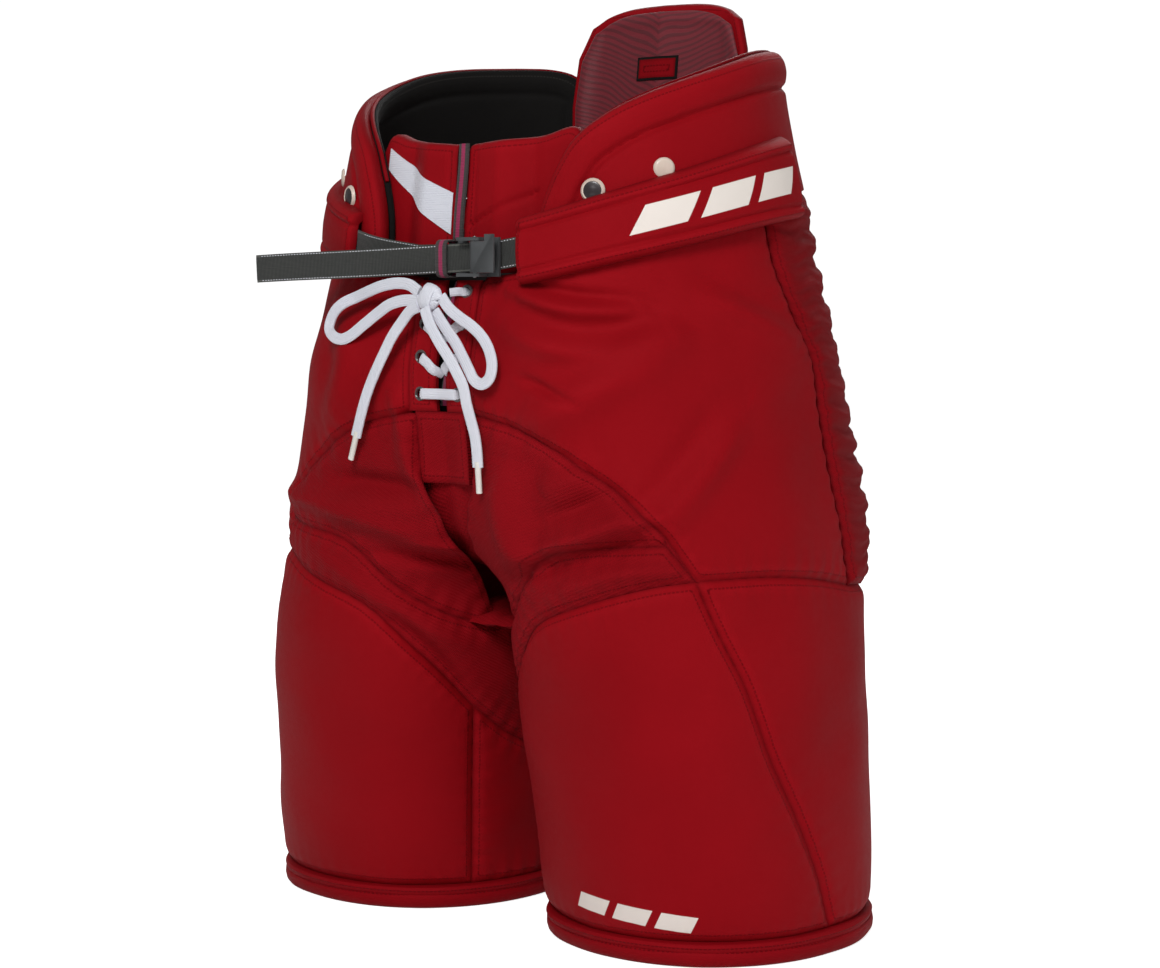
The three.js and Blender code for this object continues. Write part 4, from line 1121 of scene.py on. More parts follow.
@dataclass
class Bench:
    """What every sub-assembly is made on: the skin, its seams, its relief and the finishes."""

    skin: Skin
    pattern: Pattern
    relief: Relief
    materials: dict[Slot, bpy.types.Material] = field(default_factory=dict)

    def finish(self, slot: Slot) -> bpy.types.Material:
        """The material of a slot, made at its first use."""
        if slot not in self.materials:
            self.materials[slot] = FINISHES[slot].build()
        return self.materials[slot]

    def dress(self, piece: bpy.types.Object, slot: Slot, rides: str | Side, *nodes: str,
              fill: Optional[float] = None, bars: Optional[Bars] = None) -> bpy.types.Object:
        """Gives a finished piece its material, its body and the nodes that it stands for.

        Args:
            piece: The piece, in place.
            slot: Its finish.
            rides: A body, or the side whose hip it bends across.
            *nodes: The nodes that it replaces.
            fill: How full a padded piece is; not used.
            bars: Printed bars on a cloth.

        Returns:
            The piece.
        """
        piece.data.materials.clear()
        if bars is None:
            piece.data.materials.append(self.finish(slot))
        else:
            plain = FINISHES[slot]
            piece.data.materials.append(replace(plain, name=f"{plain.name}, {piece.name}", bars=bars).build())
        if isinstance(rides, Side):
            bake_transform(piece)
        else:
            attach(piece, rides)
        if nodes:
            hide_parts(*nodes)
        LOG.info("%s: %d faces", piece.name, len(piece.data.polygons))
        return piece

    def loose(self, side: Side, s: Spots, amount: float = 1.0) -> Array:
        """The folds and ripples of the cloth at a panel's places."""
        return self.relief.at(side, s.angle, s.z) + amount * self.relief.ripple(s.points)

    def panel(self, name: str, side: Side, edges: tuple[Line, Line, Line, Line], cells: tuple[int, int],
              outside: Depth, inside: Depth, ease: float = 0.35) -> bpy.types.Object:
        """A patch of skin between four seams.

        Args:
            name: The piece's name.
            side: The half of the pants.
            edges: The bottom, top, left and right seams, in the chart.
            cells: Cells across and up.
            outside: Depth of its outer face.
            inside: Depth of its inner face.
            ease: How much the cells crowd towards the edges.

        Returns:
            The piece.
        """
        curves = [Curve(edge) for edge in edges]

        def chart(u: Array, v: Array) -> Array:
            b, t, l, r = (curve.at(x) for curve, x in zip(curves, (u, u, v, v)))
            corners = [curves[i].at(np.array([float(j)]))[0] for i in (0, 1) for j in (0, 1)]
            u, v = u[:, None], v[:, None]
            return ((1 - v) * b + v * t + (1 - u) * l + u * r - (1 - u) * (1 - v) * corners[0]
                    - u * (1 - v) * corners[1] - (1 - u) * v * corners[2] - u * v * corners[3])

        found: dict[str, Array] = {}

        def place(u: Array, v: Array, w: Array) -> Array:
            at = chart(u, v)
            points = self.skin.point(side, at[:, 0], at[:, 1], 0)
            gaps, along = {}, np.zeros(len(u))
            best = np.full(len(u), np.inf)
            for key, curve in zip(("bottom", "top", "left", "right"), curves):
                line = curve.at(np.linspace(0, 1, 64))
                gaps[key], where = distance_to(points, self.skin.point(side, line[:, 0], line[:, 1], 0))
                along = np.where(gaps[key] < best, where, along)
                best = np.minimum(best, gaps[key])
            spots = Spots(u, v, at[:, 0], at[:, 1], points, gaps, along)
            depth = np.where(w > 0.5, outside(spots), inside(spots))
            found.update(seam=best, along=along, chart=at * [MM_PER_DEGREE, 1])
            return self.skin.point(side, at[:, 0], at[:, 1], depth)

        piece = slab(name, *cells, place, mirrored=side is Side.RIGHT,
                     chart=lambda u, v: found["chart"], ease=ease)
        put_attribute(piece.data, "seam_mm", found["seam"])
        put_attribute(piece.data, "along_mm", found["along"])
        return piece

    def plate(self, name: str, facing: Facing, box: tuple[float, float, float, float], cells: tuple[int, int],
              outside: Depth, inside: Depth) -> bpy.types.Object:
        """A patch across the middle of the front or the back.

        Args:
            name: The piece's name.
            facing: The front or the back.
            box: Its left and right x and its low and high z.
            cells: Cells across and up.
            outside: Depth of its outer face.
            inside: Depth of its inner face.

        Returns:
            The piece.
        """
        left, right, low, high = box
        found: dict[str, Array] = {}

        def place(u: Array, v: Array, w: Array) -> Array:
            x, z = left + (right - left) * u, low + (high - low) * v
            points = self.skin.middle(x, z, facing, 0)
            gaps = {"left": x - left, "right": right - x, "bottom": z - low, "top": high - z}
            spots = Spots(u, v, self.skin.angle_at(np.abs(x), z, facing), z, points, gaps,
                          np.where(np.minimum(gaps["left"], gaps["right"]) < np.minimum(gaps["bottom"], gaps["top"]), z, x))
            depth = np.where(w > 0.5, outside(spots), inside(spots))
            found.update(seam=spots.nearest(), along=spots.along, chart=np.stack([x, z], -1))
            return self.skin.middle(x, z, facing, depth)

        piece = slab(name, *cells, place, mirrored=facing is Facing.BACK, chart=lambda u, v: found["chart"])
        put_attribute(piece.data, "seam_mm", found["seam"])
        put_attribute(piece.data, "along_mm", found["along"])
        return piece


def dip(gap: Array, drop: float = 4.5, width: float = 4.5) -> Array:
    """How far a sewn edge pulls the cloth in, at a distance from the seam."""
    return -drop * np.exp(-((gap / width) ** 1.5))


def crown(gap: Array, rise: float, reach: float = 35.0) -> Array:
    """How far the filling lifts the middle of a panel."""
    return rise * (1 - np.exp(-((gap / reach) ** 2)))


def pucker(s: Spots, height: float, pitch: float = 13.0, reach: float = 10.0) -> Array:
    """Small pulls square to the seam."""
    beat = np.sin(s.along * 2 * math.pi / pitch + 2.2 * np.sin(s.along / 31.0))
    return height * beat * np.exp(-s.nearest() / reach) * (1 - np.exp(-s.nearest() / 2.0))


def round_edge(gap: Array, radius: float) -> Array:
    """0 at a free edge, rising as a quarter circle to 1 at the radius."""
    t = np.clip(gap / radius, 0, 1)
    return np.maximum(np.sqrt(np.clip(1 - (1 - t) ** 2, 0, 1)), 0.06)


def groove(gap: Array, middle: float, depth: float, width: float = 2.4) -> Array:
    """A sewn channel at a distance from the edge."""
    return -depth * np.exp(-(((gap - middle) / width) ** 2))


# ------------------------------------------------------------------ legs
@dataclass
class Leg:
    """One leg: foam thigh pads in a cloth shell, an inner gusset, a lining and a hem."""

    bench: Bench
    side: Side
    pad: float = 12.0
    thin: float = 4.0
    guard_depth: tuple[float, float] = (-17.4, -15.0)
    lining_depth: tuple[float, float] = (-22.4, -20.4)

    def build(self) -> None:
        """Makes every piece of the leg."""
        p, side, word = self.bench.pattern, self.side, self.side.word
        hem = p.skin.heights.hem
        self.hem(hem)
        pads = (
            ("thigh_front", [[p.inner_front, hem], [-6, hem]], p.thigh_front,
             [[p.inner_front, hem], p.thigh_front[0]], p.front_side, (96, 84)),
            ("thigh_side", [[-6, hem], [360 + p.inner_back, hem]], [*p.thigh_side, *p.thigh_back[1:]],
             p.front_side, [[360 + p.inner_back, hem], p.thigh_back[-1]], (120, 84)),
        )
        for name, bottom, top, left, right, cells in pads:
            piece = self.bench.panel(f"{name}_{word}_cover", side, (bottom, top, left, right), cells,
                                     self.pad_face, lambda s: np.full(len(s.u), -self.pad))
            marked = side is Side.LEFT and name == "thigh_front"
            self.bench.dress(piece, Slot.SHELL, side, f"{name}_{word}", fill=0.8,
                             bars=Bars(-212, -124, 11, 23, 30, 24, 0.5, -0.11) if marked else None)
        gusset = self.bench.panel(
            f"inner_gusset_{word}_cover", side,
            ([[p.inner_back, hem], [p.inner_front, hem]], p.gusset_top,
             [[p.inner_back, hem], p.gusset_top[0]], [[p.inner_front, hem], p.gusset_top[-1]]),
            (44, 48), self.cloth_face, lambda s: np.full(len(s.u), -6.0) + np.minimum(self.cloth_face(s), 0))
        self.bench.dress(gusset, Slot.SHELL, side, f"inner_gusset_{word}")
        band = self.bench.panel(
            f"thigh_band_{word}_cover", side,
            ([*p.gusset_top, *p.thigh_front[1:]], [*p.band_inner, *p.band_top[1:]],
             [p.gusset_top[0], p.band_inner[0]], [p.thigh_front[-1], p.band_top[-1]]),
            (150, 30), self.cloth_face, lambda s: self.cloth_face(s) - 2.5)
        self.bench.dress(band, Slot.MESH, side, f"thigh_band_{word}")
        self.inside(p)

    def pad_face(self, s: Spots) -> Array:
        """The outer face of a foam pad: full in the middle, pulled in at its seams."""
        gap = s.nearest()
        return dip(gap) + crown(gap, 2.2) + pucker(s, 0.6) + self.bench.loose(self.side, s, 1.3)

    def cloth_face(self, s: Spots) -> Array:
        """The outer face of a panel with no foam."""
        gap = s.nearest()
        return dip(gap, 3.5, 5.0) + pucker(s, 1.2) + self.bench.loose(self.side, s, 1.6) - 0.6

    def hem(self, height: float) -> None:
        """The folded and stitched band round the leg opening."""
        profile = [(-11.8, 3), (-11, 0.8), (-8.5, 0), (-3.5, 0), (-0.9, 0.9), (0.8, 3.2), (1.3, 6.5), (0.9, 9.6),
                   (-0.2, 11), (0.5, 12.4), (0.9, 14.5), (-0.4, 16.6), (-3.6, height - 0.4),
                   (-11, height - 0.4), (-11.8, 16)]
        skin, side = self.bench.skin, self.side

        def place(turn: Array, z: Array, depth: Array) -> Array:
            angle = turn * 360 - 180
            sway = 0.5 * np.sin(np.radians(angle * 5)) + 0.35 * np.sin(np.radians(angle * 11 + 40))
            return skin.point(side, angle, np.maximum(z, 0), depth + sway * (z > 0.1))

        piece = ring(f"hem_band_{side.word}_cover", profile, 180, place, mirrored=side is Side.LEFT)
        self.finish_ring(piece, height)
        self.bench.dress(piece, Slot.TRIM, side.leg, f"hem_band_{side.word}")
        angle = np.linspace(-180, 180, 720)
        for row, z in enumerate((10.9,)):
            path = skin.point(side, angle, z, 0.1)
            normals = skin.point(side, angle, z, 10) - skin.point(side, angle, z, 0)
            normals /= np.linalg.norm(normals, axis=1, keepdims=True)
            thread = stitch_row(f"hem_thread_{side.word}_{row}", path, normals, 3.4, 2.3, 0.42)
            self.bench.dress(thread, Slot.TRIM, side.leg)

    def finish_ring(self, piece: bpy.types.Object, height: float) -> None:
        """Stores the cloth's coordinates on a ring, round it and up it."""
        co = coordinates(piece.data) / MM
        turn = np.degrees(np.arctan2(co[:, 1], co[:, 0] - self.side.value * 130))
        chart = np.stack([turn * MM_PER_DEGREE, co[:, 2]], -1)
        put_chart(piece.data, chart)
        put_attribute(piece.data, "seam_mm", np.abs(height - co[:, 2]) + 1)
        put_attribute(piece.data, "along_mm", chart[:, 0])

    def inside(self, p: Pattern) -> None:
        """The moulded guard inside the pads and the lining of the leg."""
        heights, word = p.skin.heights, self.side.word
        hem, thigh = heights.hem, heights.thigh
        low, high = self.guard_depth
        top = rounded_line([[-112, thigh - 64], [-88, thigh - 40], [-50, thigh - 22], [48, thigh - 36]])
        edges = ([[-118, hem + 14], [48, hem + 14]], top, [[-118, hem + 14], [-112, thigh - 64]],
                 [[48, hem + 14], [48, thigh - 36]])
        guard = self.bench.panel(
            f"thigh_guard_{word}_shell", self.side, edges, (48, 32),
            lambda s: (low + high) / 2 + (high - low) / 2 * round_edge(s.nearest(), 2.5) - groove(s.nearest(), 12, 0.8),
            lambda s: (low + high) / 2 - (high - low) / 2 * round_edge(s.nearest(), 2.5), ease=0.2)
        self.bench.dress(guard, Slot.GUARD, self.side, f"thigh_guard_{word}")
        inner, outer = self.lining_depth
        skin, side = self.bench.skin, self.side
        start, end = hem / 2, thigh - 66
        rows = 18
        climb = np.linspace(start, end, rows)
        profile = [(outer, z) for z in climb] + [(inner, z) for z in climb[::-1]]

        def place(turn: Array, z: Array, depth: Array) -> Array:
            angle = turn * 360 - 180
            wave = 0.7 * np.sin(z / 17 + np.radians(angle * 3)) * np.sin(np.radians(angle * 7))
            return skin.point(side, angle, z, depth + wave)

        lining = ring(f"leg_lining_{word}_cloth", profile, 96, place, mirrored=side is Side.RIGHT)
        self.finish_ring(lining, end)
        self.bench.dress(lining, Slot.LINING, side, f"leg_lining_{word}")


# ------------------------------------------------------------------ hips and seat
@dataclass
class Hips:
    """One half of the body below the belt: hip panel, gathered back, mesh and half the seat."""

    bench: Bench
    side: Side
    pad: float = 12.0
    gather: float = 7.0

    def build(self) -> None:
        """Makes every piece of this half."""
        p, side, word = self.bench.pattern, self.side, self.side.word
        thigh, waist = p.skin.heights.thigh, p.skin.heights.waist
        front_top = float(p.angle(p.fly_half, waist + p.waist_lift))
        hip = self.bench.panel(
            f"hip_panel_{word}_cover", side,
            ([*p.mesh_top, *p.mesh_tip[1:], *p.thigh_side[1:]], p.along_belt(front_top, -5, p.waist_lift),
             p.upright(p.fly_half, p.box_high, waist + p.waist_lift, Facing.FRONT), p.hip_back),
            (140, 110), self.hip_face, lambda s: np.full(len(s.u), -self.pad))
        self.bench.dress(hip, Slot.SHELL, side, f"hip_panel_{word}", fill=0.7)
        back_top = float(p.angle(p.seat_half, p.belt_height(100) + p.waist_lift, Facing.BACK))
        low_angle = float(p.angle(p.seat_half, thigh - 25, Facing.BACK))
        back = self.bench.panel(
            f"hip_back_{word}_cover", side,
            (p.cut_back(p.thigh_back, low_angle), p.along_belt(-5, back_top, p.waist_lift), p.hip_back,
             p.upright(p.seat_half, thigh - 25, float(p.belt_height(back_top)) + p.waist_lift, Facing.BACK)),
            (90, 170), self.gather_face, lambda s: np.full(len(s.u), -self.gather - 3))
        self.bench.dress(back, Slot.GATHER, side, f"hip_back_{word}", fill=0.4)
        self.mesh(p, thigh)
        self.seat(p, thigh)
        guard = self.bench.panel(
            f"hip_guard_{word}_shell", side,
            (rounded_line([[-78, thigh + 92], [-50, thigh + 52], [10, thigh + 50]]),
             rounded_line([[-78, waist - 40], [-50, waist - 26], [4, waist - 20]]),
             [[-78, thigh + 92], [-78, waist - 40]], [[10, thigh + 50], [4, waist - 20]]),
            (40, 28), lambda s: -16.2 + 1.2 * round_edge(s.nearest(), 2.5),
            lambda s: -16.2 - 1.2 * round_edge(s.nearest(), 2.5), ease=0.2)
        self.bench.dress(guard, Slot.GUARD, side, f"hip_guard_{word}")

    def hip_face(self, s: Spots) -> Array:
        """The outer face of the hip panel, slack below the belt."""
        gap = s.nearest()
        sewn = dip(s.nearest("bottom", "top", "right")) + dip(s.gaps["left"], 1.2, 3)
        slack = pucker(s, 0.9) + self.bench.loose(self.side, s, 1.9)
        return sewn + crown(gap, 2.6, 45) + slack * smoothstep(s.gaps["left"], 1, 16)

    def gather_face(self, s: Spots) -> Array:
        """The outer face of the gathered back, in rows of soft ridges."""
        gap = s.nearest()
        sway = 4.0 * np.sin(s.angle / 16.0) + 3.0 * np.sin(s.angle / 7.0 + s.z / 40.0) + 4.0 * np.sin(s.z / 29.0)
        wave = np.sin((s.z + sway) * 2 * math.pi / 23.0)
        swell = 0.65 + 0.35 * np.sin(s.angle / 9.0 + s.z / 21.0)
        fine = np.sin((s.z + 2.2 * np.sin(s.angle / 4.0)) * 2 * math.pi / 9.0)
        shape = 2.1 * swell * wave * (1 - np.exp(-gap / 12)) + 0.5 * fine
        return dip(gap) + 1.5 + shape + self.bench.loose(self.side, s, 0.8)

    def mesh(self, p: Pattern, thigh: float) -> None:
        """The loose stretch panel at the groin."""
        waist = p.skin.heights.waist
        torso = waist - thigh
        turn = [[float(p.angle(x, thigh + rise)), thigh + rise] for x, rise in (
            (p.crotch_split, 0.093 * torso), (p.crotch_split + 2, 0.167 * torso),
            (p.box_half, p.box_low - thigh), (p.box_half, p.box_high - thigh))]
        inner = rounded_line([p.band_top[0], [-140, thigh - 12], *turn])
        start = p.mesh_top[0]
        tip = [[float(p.angle(p.box_half, p.box_high)), p.box_high], start]
        piece = self.bench.panel(
            f"mesh_panel_{self.side.word}_cover", self.side,
            (p.band_top, [tip[0], *p.mesh_top], inner, [p.band_top[-1], p.mesh_top[-1]]),
            (120, 90), self.mesh_face, lambda s: self.mesh_face(s) - 2.5)
        self.bench.dress(piece, Slot.MESH, self.side, f"mesh_panel_{self.side.word}")
        corner = self.bench.panel(
            f"mesh_corner_{self.side.word}", self.side,
            ([p.thigh_front[-1], p.thigh_front[-1]], [p.band_top[-1], p.mesh_top[-1]],
             [p.thigh_front[-1], p.band_top[-1]], [p.thigh_front[-1], p.mesh_top[-1]]),
            (12, 20), self.mesh_face, lambda s: self.mesh_face(s) - 2.5)
        self.bench.dress(corner, Slot.MESH, self.side)

    def mesh_face(self, s: Spots) -> Array:
        """The outer face of the loose mesh."""
        gap = s.nearest()
        return dip(gap, 3.5, 5.0) + pucker(s, 1.4, 17) + self.bench.loose(self.side, s, 2.0) - 0.5

    def seat(self, p: Pattern, thigh: float) -> None:
        """This side's half of the padded seat."""
        half = p.seat_half
        edges = (0.0, half) if self.side is Side.LEFT else (-half, 0.0)
        top = float(p.belt_height(100)) + p.waist_lift + 2.5
        piece = self.bench.plate(
            f"seat_{self.side.word}_cover", Facing.BACK, (*edges, thigh - 23, top), (34, 124),
            lambda s: dip(s.nearest()) + crown(s.nearest(), 2.0, 14) + 0.8 * self.bench.relief.ripple(s.points),
            lambda s: np.full(len(s.u), -self.pad))
        nodes = ("seat_panel",) if self.side is Side.LEFT else ()
        self.bench.dress(piece, Slot.SHELL, self.side, *nodes, fill=0.6)


@dataclass
class Seat:
    """What lies across the middle: crotch gusset, tail guard and the lining of the waist."""

    bench: Bench
    thin: float = 4.0

    def build(self) -> None:
        """Makes the three pieces."""
        self.gusset()
        p = self.bench.pattern
        h = p.skin.heights
        top = float(p.belt_height(100)) + p.waist_lift
        guard = self.bench.plate(
            "tail_guard_shell", Facing.BACK, (-34, 34, h.thigh + 52, top - 40), (30, 36),
            lambda s: -16.2 + 1.2 * round_edge(s.nearest(), 2.5), lambda s: -16.2 - 1.2 * round_edge(s.nearest(), 2.5))
        self.bench.dress(guard, Slot.GUARD, "torso", "tail_guard")
        self.lining(h)

    def gusset(self) -> None:
        """The strip from the fly patch, between the legs, to the seat."""
        skin, thigh = self.bench.skin, self.bench.skin.heights.thigh
        behind = lambda z, lift: [0, float(skin.middle(0, z, Facing.FRONT, 0)[1]) + lift, z]
        route = [behind(self.bench.pattern.box_low + 4, self.thin), behind(thigh + 44, self.thin + 2.5),
                 behind(thigh + 24, self.thin + 6), behind(thigh + 2, self.thin + 10), behind(thigh - 24, self.thin + 14),
                 [0, -84, thigh - 46], [0, -40, thigh - 44], [0, 30, thigh - 28], [0, 99, thigh - 10],
                 [0, 128, thigh + 2]]
        path = smooth_path(route, 4.0)
        share = np.linspace(0, 1, len(path))
        reaches = np.interp(share, [0, 0.12, 0.25, 0.42, 0.62, 0.8, 1], [32, 36, 44, 44, 34, 42, 46])
        out = np.stack([np.zeros(len(path)), np.gradient(path[:, 2]), -np.gradient(path[:, 1])], -1)
        out /= np.linalg.norm(out, axis=1, keepdims=True)

        def place(u: Array, v: Array, w: Array) -> Array:
            t = v * (len(path) - 1)
            index = np.arange(len(path))
            at = np.stack([np.interp(t, index, path[:, k]) for k in range(3)], -1)
            facing = np.stack([np.interp(t, index, out[:, k]) for k in range(3)], -1)
            x = (u - 0.5) * 2 * np.interp(v, share, reaches)
            fold = 0.9 * np.sin(x / 3.1 + v * 20) - 2.0 * np.exp(-((1 - np.abs(2 * u - 1)) / 0.16) ** 2)
            at[:, 0] = x
            return at + facing * (w * 2.6 + fold)[:, None]

        piece = slab("crotch_gusset_cloth", 26, 70, place, chart=lambda u, v: np.stack([u * 38, v * 330], -1))
        put_attribute(piece.data, "seam_mm", np.full(len(piece.data.vertices), 20.0))
        put_attribute(piece.data, "along_mm", coordinates(piece.data)[:, 1] / MM)
        self.bench.dress(piece, Slot.MESH, "torso", "crotch_gusset")

    def lining(self, h: Heights) -> None:
        """The band of lining round the seat and hips."""
        skin, pattern = self.bench.skin, self.bench.pattern
        rows = np.linspace(0, 1, 24)
        profile = [(-20.4, r) for r in rows] + [(-22.4, r) for r in rows[::-1]]
        low = h.thigh + 60

        def place(turn: Array, rise: Array, depth: Array) -> Array:
            share = np.where(turn < 0.5, turn * 2, (1 - turn) * 2)
            z = low + (pattern.belt_height(100 - 200 * share) - 36 - low) * rise
            start = skin.angle_at(np.zeros(len(z)), z, Facing.BACK)
            end = skin.angle_at(np.zeros(len(z)), z, Facing.FRONT)
            angle = start + (end - start) * share
            left = skin.point(Side.LEFT, angle, z, depth)
            wave = 0.6 * np.sin(z / 14 + turn * 40)
            left = skin.point(Side.LEFT, angle, z, depth + wave)
            return left * np.stack([np.where(turn < 0.5, 1, -1), np.ones(len(z)), np.ones(len(z))], -1)

        piece = ring("waist_lining_cloth", profile, 160, place)
        co = coordinates(piece.data) / MM
        put_chart(piece.data, np.stack([np.degrees(np.arctan2(co[:, 1], co[:, 0])) * 2.4, co[:, 2]], -1))
        self.bench.dress(piece, Slot.LINING, "torso", "waist_lining")


# ------------------------------------------------------------------ pads above the belt
def smoothstep(value: Array, low: float, high: float) -> Array:
    """0 below low, 1 above high and smooth between."""
    t = np.clip((value - low) / (high - low), 0, 1)
    return t * t * (3 - 2 * t)


def outward(skin: Skin, side: Side, angle: Array, z: Array) -> Array:
    """The skin's outward directions at chart points."""
    ahead = skin.point(side, angle, z, 10) - skin.point(side, angle, z, 0)
    return ahead / np.linalg.norm(ahead, axis=-1, keepdims=True)


@dataclass
class Pads:
    """The pads above the belt on one side: kidney pad with its liner and piping, and belly pad."""

    bench: Bench
    side: Side
    shell: tuple[float, float] = (-11.6, -0.6)
    belly: float = 10.0

    def wing_edges(self) -> tuple[Line, Line, Line, Line]:
        """The kidney pad's outline: bottom, top, left and right."""
        p = self.bench.pattern
        waist = p.skin.heights.waist
        rise = [[-80, 56], [-73, 80], [-62, 98], [-48, 112], [-20, 130], [10, 144], [45, 150], [72, 148], [80, 136]]
        top = rounded_line([[a, waist + z] for a, z in rise])
        front = rounded_line([[-86, float(p.belt_height(-86)) - 12.4], [-84, waist + 33], top[0]])
        return p.along_belt(-86, 80, -12.4), top, front, [[80, float(p.belt_height(80)) - 12.4], top[-1]]

    def build(self) -> None:
        """Makes every piece of this side."""
        word, side = self.side.word, self.side
        edges = self.wing_edges()
        low, high = self.shell
        mid = (low + high) / 2
        free = lambda s: s.nearest("top", "left", "right")

        def outside(s: Spots) -> Array:
            gap = free(s)
            puff = 2.0 * np.exp(-(((gap - 13) / 8) ** 2)) - 3.2 * np.exp(-(((gap - 25) / 2.6) ** 2))
            return mid + (high - mid + puff + crown(gap, 1.8)) * round_edge(gap, 8) + 0.7 * self.bench.relief.ripple(s.points)

        shell = self.bench.panel(f"kidney_pad_{word}_cover", side, edges, (130, 64), outside,
                                 lambda s: mid - (mid - low) * round_edge(free(s), 5))
        self.bench.dress(shell, Slot.SHELL, "torso", f"kidney_pad_{word}", fill=0.8)
        liner = self.bench.panel(
            f"kidney_liner_{word}_cover", side, edges, (110, 54),
            lambda s: -14.2 + 2.2 * round_edge(free(s), 2.5),
            lambda s: -14.2 - 2.4 * round_edge(free(s), 3) - 1.3 * np.exp(-(((free(s) - 9) / 6) ** 2))
            + groove(free(s), 19, -1.6) + 0.3 * self.bench.relief.ripple(s.points))
        self.bench.dress(liner, Slot.LINER, "torso", f"kidney_liner_{word}", fill=0.4)
        line = np.array([*edges[1], edges[3][0]])
        rim = smooth_path(self.bench.skin.point(side, line[:, 0], line[:, 1], low - 0.4)[::3], 4.0)
        normals = rim - [side.value * 40, 5, 0]
        normals[:, 2] = 0
        piping = ribbon(f"kidney_piping_{word}", rim, normals, 3.2, 3.2, 10, 2.0)
        self.bench.dress(piping, Slot.TRIM, "torso")
        self.belly_pad()

    def belly_depth(self, s: Spots) -> Array:
        """The outer face of the belly pad, which steps back to pass behind the kidney pad."""
        return -3 - 15 * smoothstep(s.angle, -102, -90) + 0.6 * self.bench.relief.ripple(s.points)

    def belly_pad(self) -> None:
        """The pad behind the lacing, and on the wearer's right its pale slanted band."""
        p, side, word = self.bench.pattern, self.side, self.side.word
        waist = p.skin.heights.waist
        low, high = waist - 10, waist + 80
        edge = float(p.angle(4, high))
        top = rounded_line([[edge, high], [-88, high + 5], [-75, high + 10], [-70, high]])
        seam_line = np.array([[float(p.angle(8, waist + 23)), waist + 23], [-90, waist + 46]])

        def outside(s: Spots) -> Array:
            gap = s.nearest("top")
            face = self.belly_depth(s) + 5 * (round_edge(gap, 7) - 1) - groove(s.nearest("left"), 7, -0.8)
            if side is Side.LEFT:
                line = self.bench.skin.point(side, seam_line[:, 0], seam_line[:, 1], 0)
                face -= 2.2 * np.exp(-((distance_to(s.points, line)[0] / 1.8) ** 2))
            return face

        pad = self.bench.panel(
            f"belly_pad_{word}_cover", side,
            ([[float(p.angle(4, low)), low], [-70, low]], top, p.upright(4, low, high, Facing.FRONT),
             [[-70, low], [-70, high]]), (60, 54), outside, lambda s: self.belly_depth(s) - self.belly)
        self.bench.dress(pad, Slot.SHELL, "torso", f"belly_pad_{word}", fill=0.7)
        if side is Side.RIGHT:
            corners = [[float(p.angle(6, waist + 17)), waist + 17], [-77, waist + 65],
                       [float(p.angle(6, waist + 46)), waist + 46], [-77, waist + 80]]
            band = self.bench.panel(
                "belly_band", side,
                (corners[:2], corners[2:], [corners[0], corners[2]], [corners[1], corners[3]]), (50, 16),
                lambda s: self.belly_depth(s) + 0.8, lambda s: self.belly_depth(s) - 1)
            self.bench.dress(band, Slot.LACE, "torso")


@dataclass
class Spine:
    """The tall pad behind the waist, with its printed lining and a blank label."""

    bench: Bench
    depth: tuple[float, float] = (-28.0, -19.0)

    def sheet(self, name: str, inset: float, cells: tuple[int, int], depth: Callable[[Array, Array], Array]
              ) -> bpy.types.Object:
        """A layer of the pad.

        Args:
            name: The layer's name.
            inset: How far it stays inside the pad's outline.
            cells: Cells across and up.
            depth: Gives the depth from the distance to the edge and the share through.

        Returns:
            The layer.
        """
        skin = self.bench.skin
        h = skin.heights
        low, top = h.waist + 62 + inset, h.top - inset
        found: dict[str, Array] = {}

        def place(u: Array, v: Array, w: Array) -> Array:
            half = np.interp(v, [0, 0.45, 0.75, 0.93, 1], [80, 82, 79, 70, 56]) - inset
            x = (2 * u - 1) * half
            z = low + (top - low) * v - np.abs(2 * u - 1) ** 4 * 6 * v
            gap = np.minimum(half - np.abs(x), np.minimum(z - low, (1 - v) * (top - low)))
            found.update(chart=np.stack([x, z], -1), gap=gap)
            return skin.middle(x, z, Facing.BACK, depth(gap, w))

        piece = slab(name, *cells, place, mirrored=True, chart=lambda u, v: found["chart"], ease=0.5)
        put_attribute(piece.data, "seam_mm", found["gap"])
        put_attribute(piece.data, "along_mm", found["chart"][:, 1])
        return piece

    def build(self) -> None:
        """Makes the pad, its printed lining and the label."""
        low, high = self.depth
        mid = (low + high) / 2
        pad = self.sheet("spine_pad_cover", 0, (72, 64), lambda gap, w: mid + (w - 0.5) * (
            (high - low + 1.5) * round_edge(gap, 6)) - w * 1.6 * np.exp(-(((gap - 16) / 2.4) ** 2)))
        self.bench.dress(pad, Slot.SHELL, "torso", "spine_pad", fill=0.8)
        liner = self.sheet("spine_liner_cover", 5.5, (64, 56), lambda gap, w: low - 2.2 + (w - 0.5) * (
            4.4 * round_edge(gap, 6)) - (1 - w) * 0.8 * np.exp(-(((gap - 7) / 4) ** 2)))
        self.bench.dress(liner, Slot.PRINT, "torso", "spine_liner")
        h = self.bench.skin.heights
        z = h.waist + 148
        for name, half, slot, lift in (("label_border", (19, 9), Slot.LINER, 0.0), ("label_face", (17, 7.2), Slot.TRIM, 0.3)):
            label = self.bench.plate(
                name, Facing.BACK, (-half[0], half[0], z - half[1], z + half[1]), (16, 8),
                lambda s: np.full(len(s.u), low - 3.6), lambda s, lift=lift: np.full(len(s.u), low - 5.2 - lift))
            self.bench.dress(label, slot, "torso")


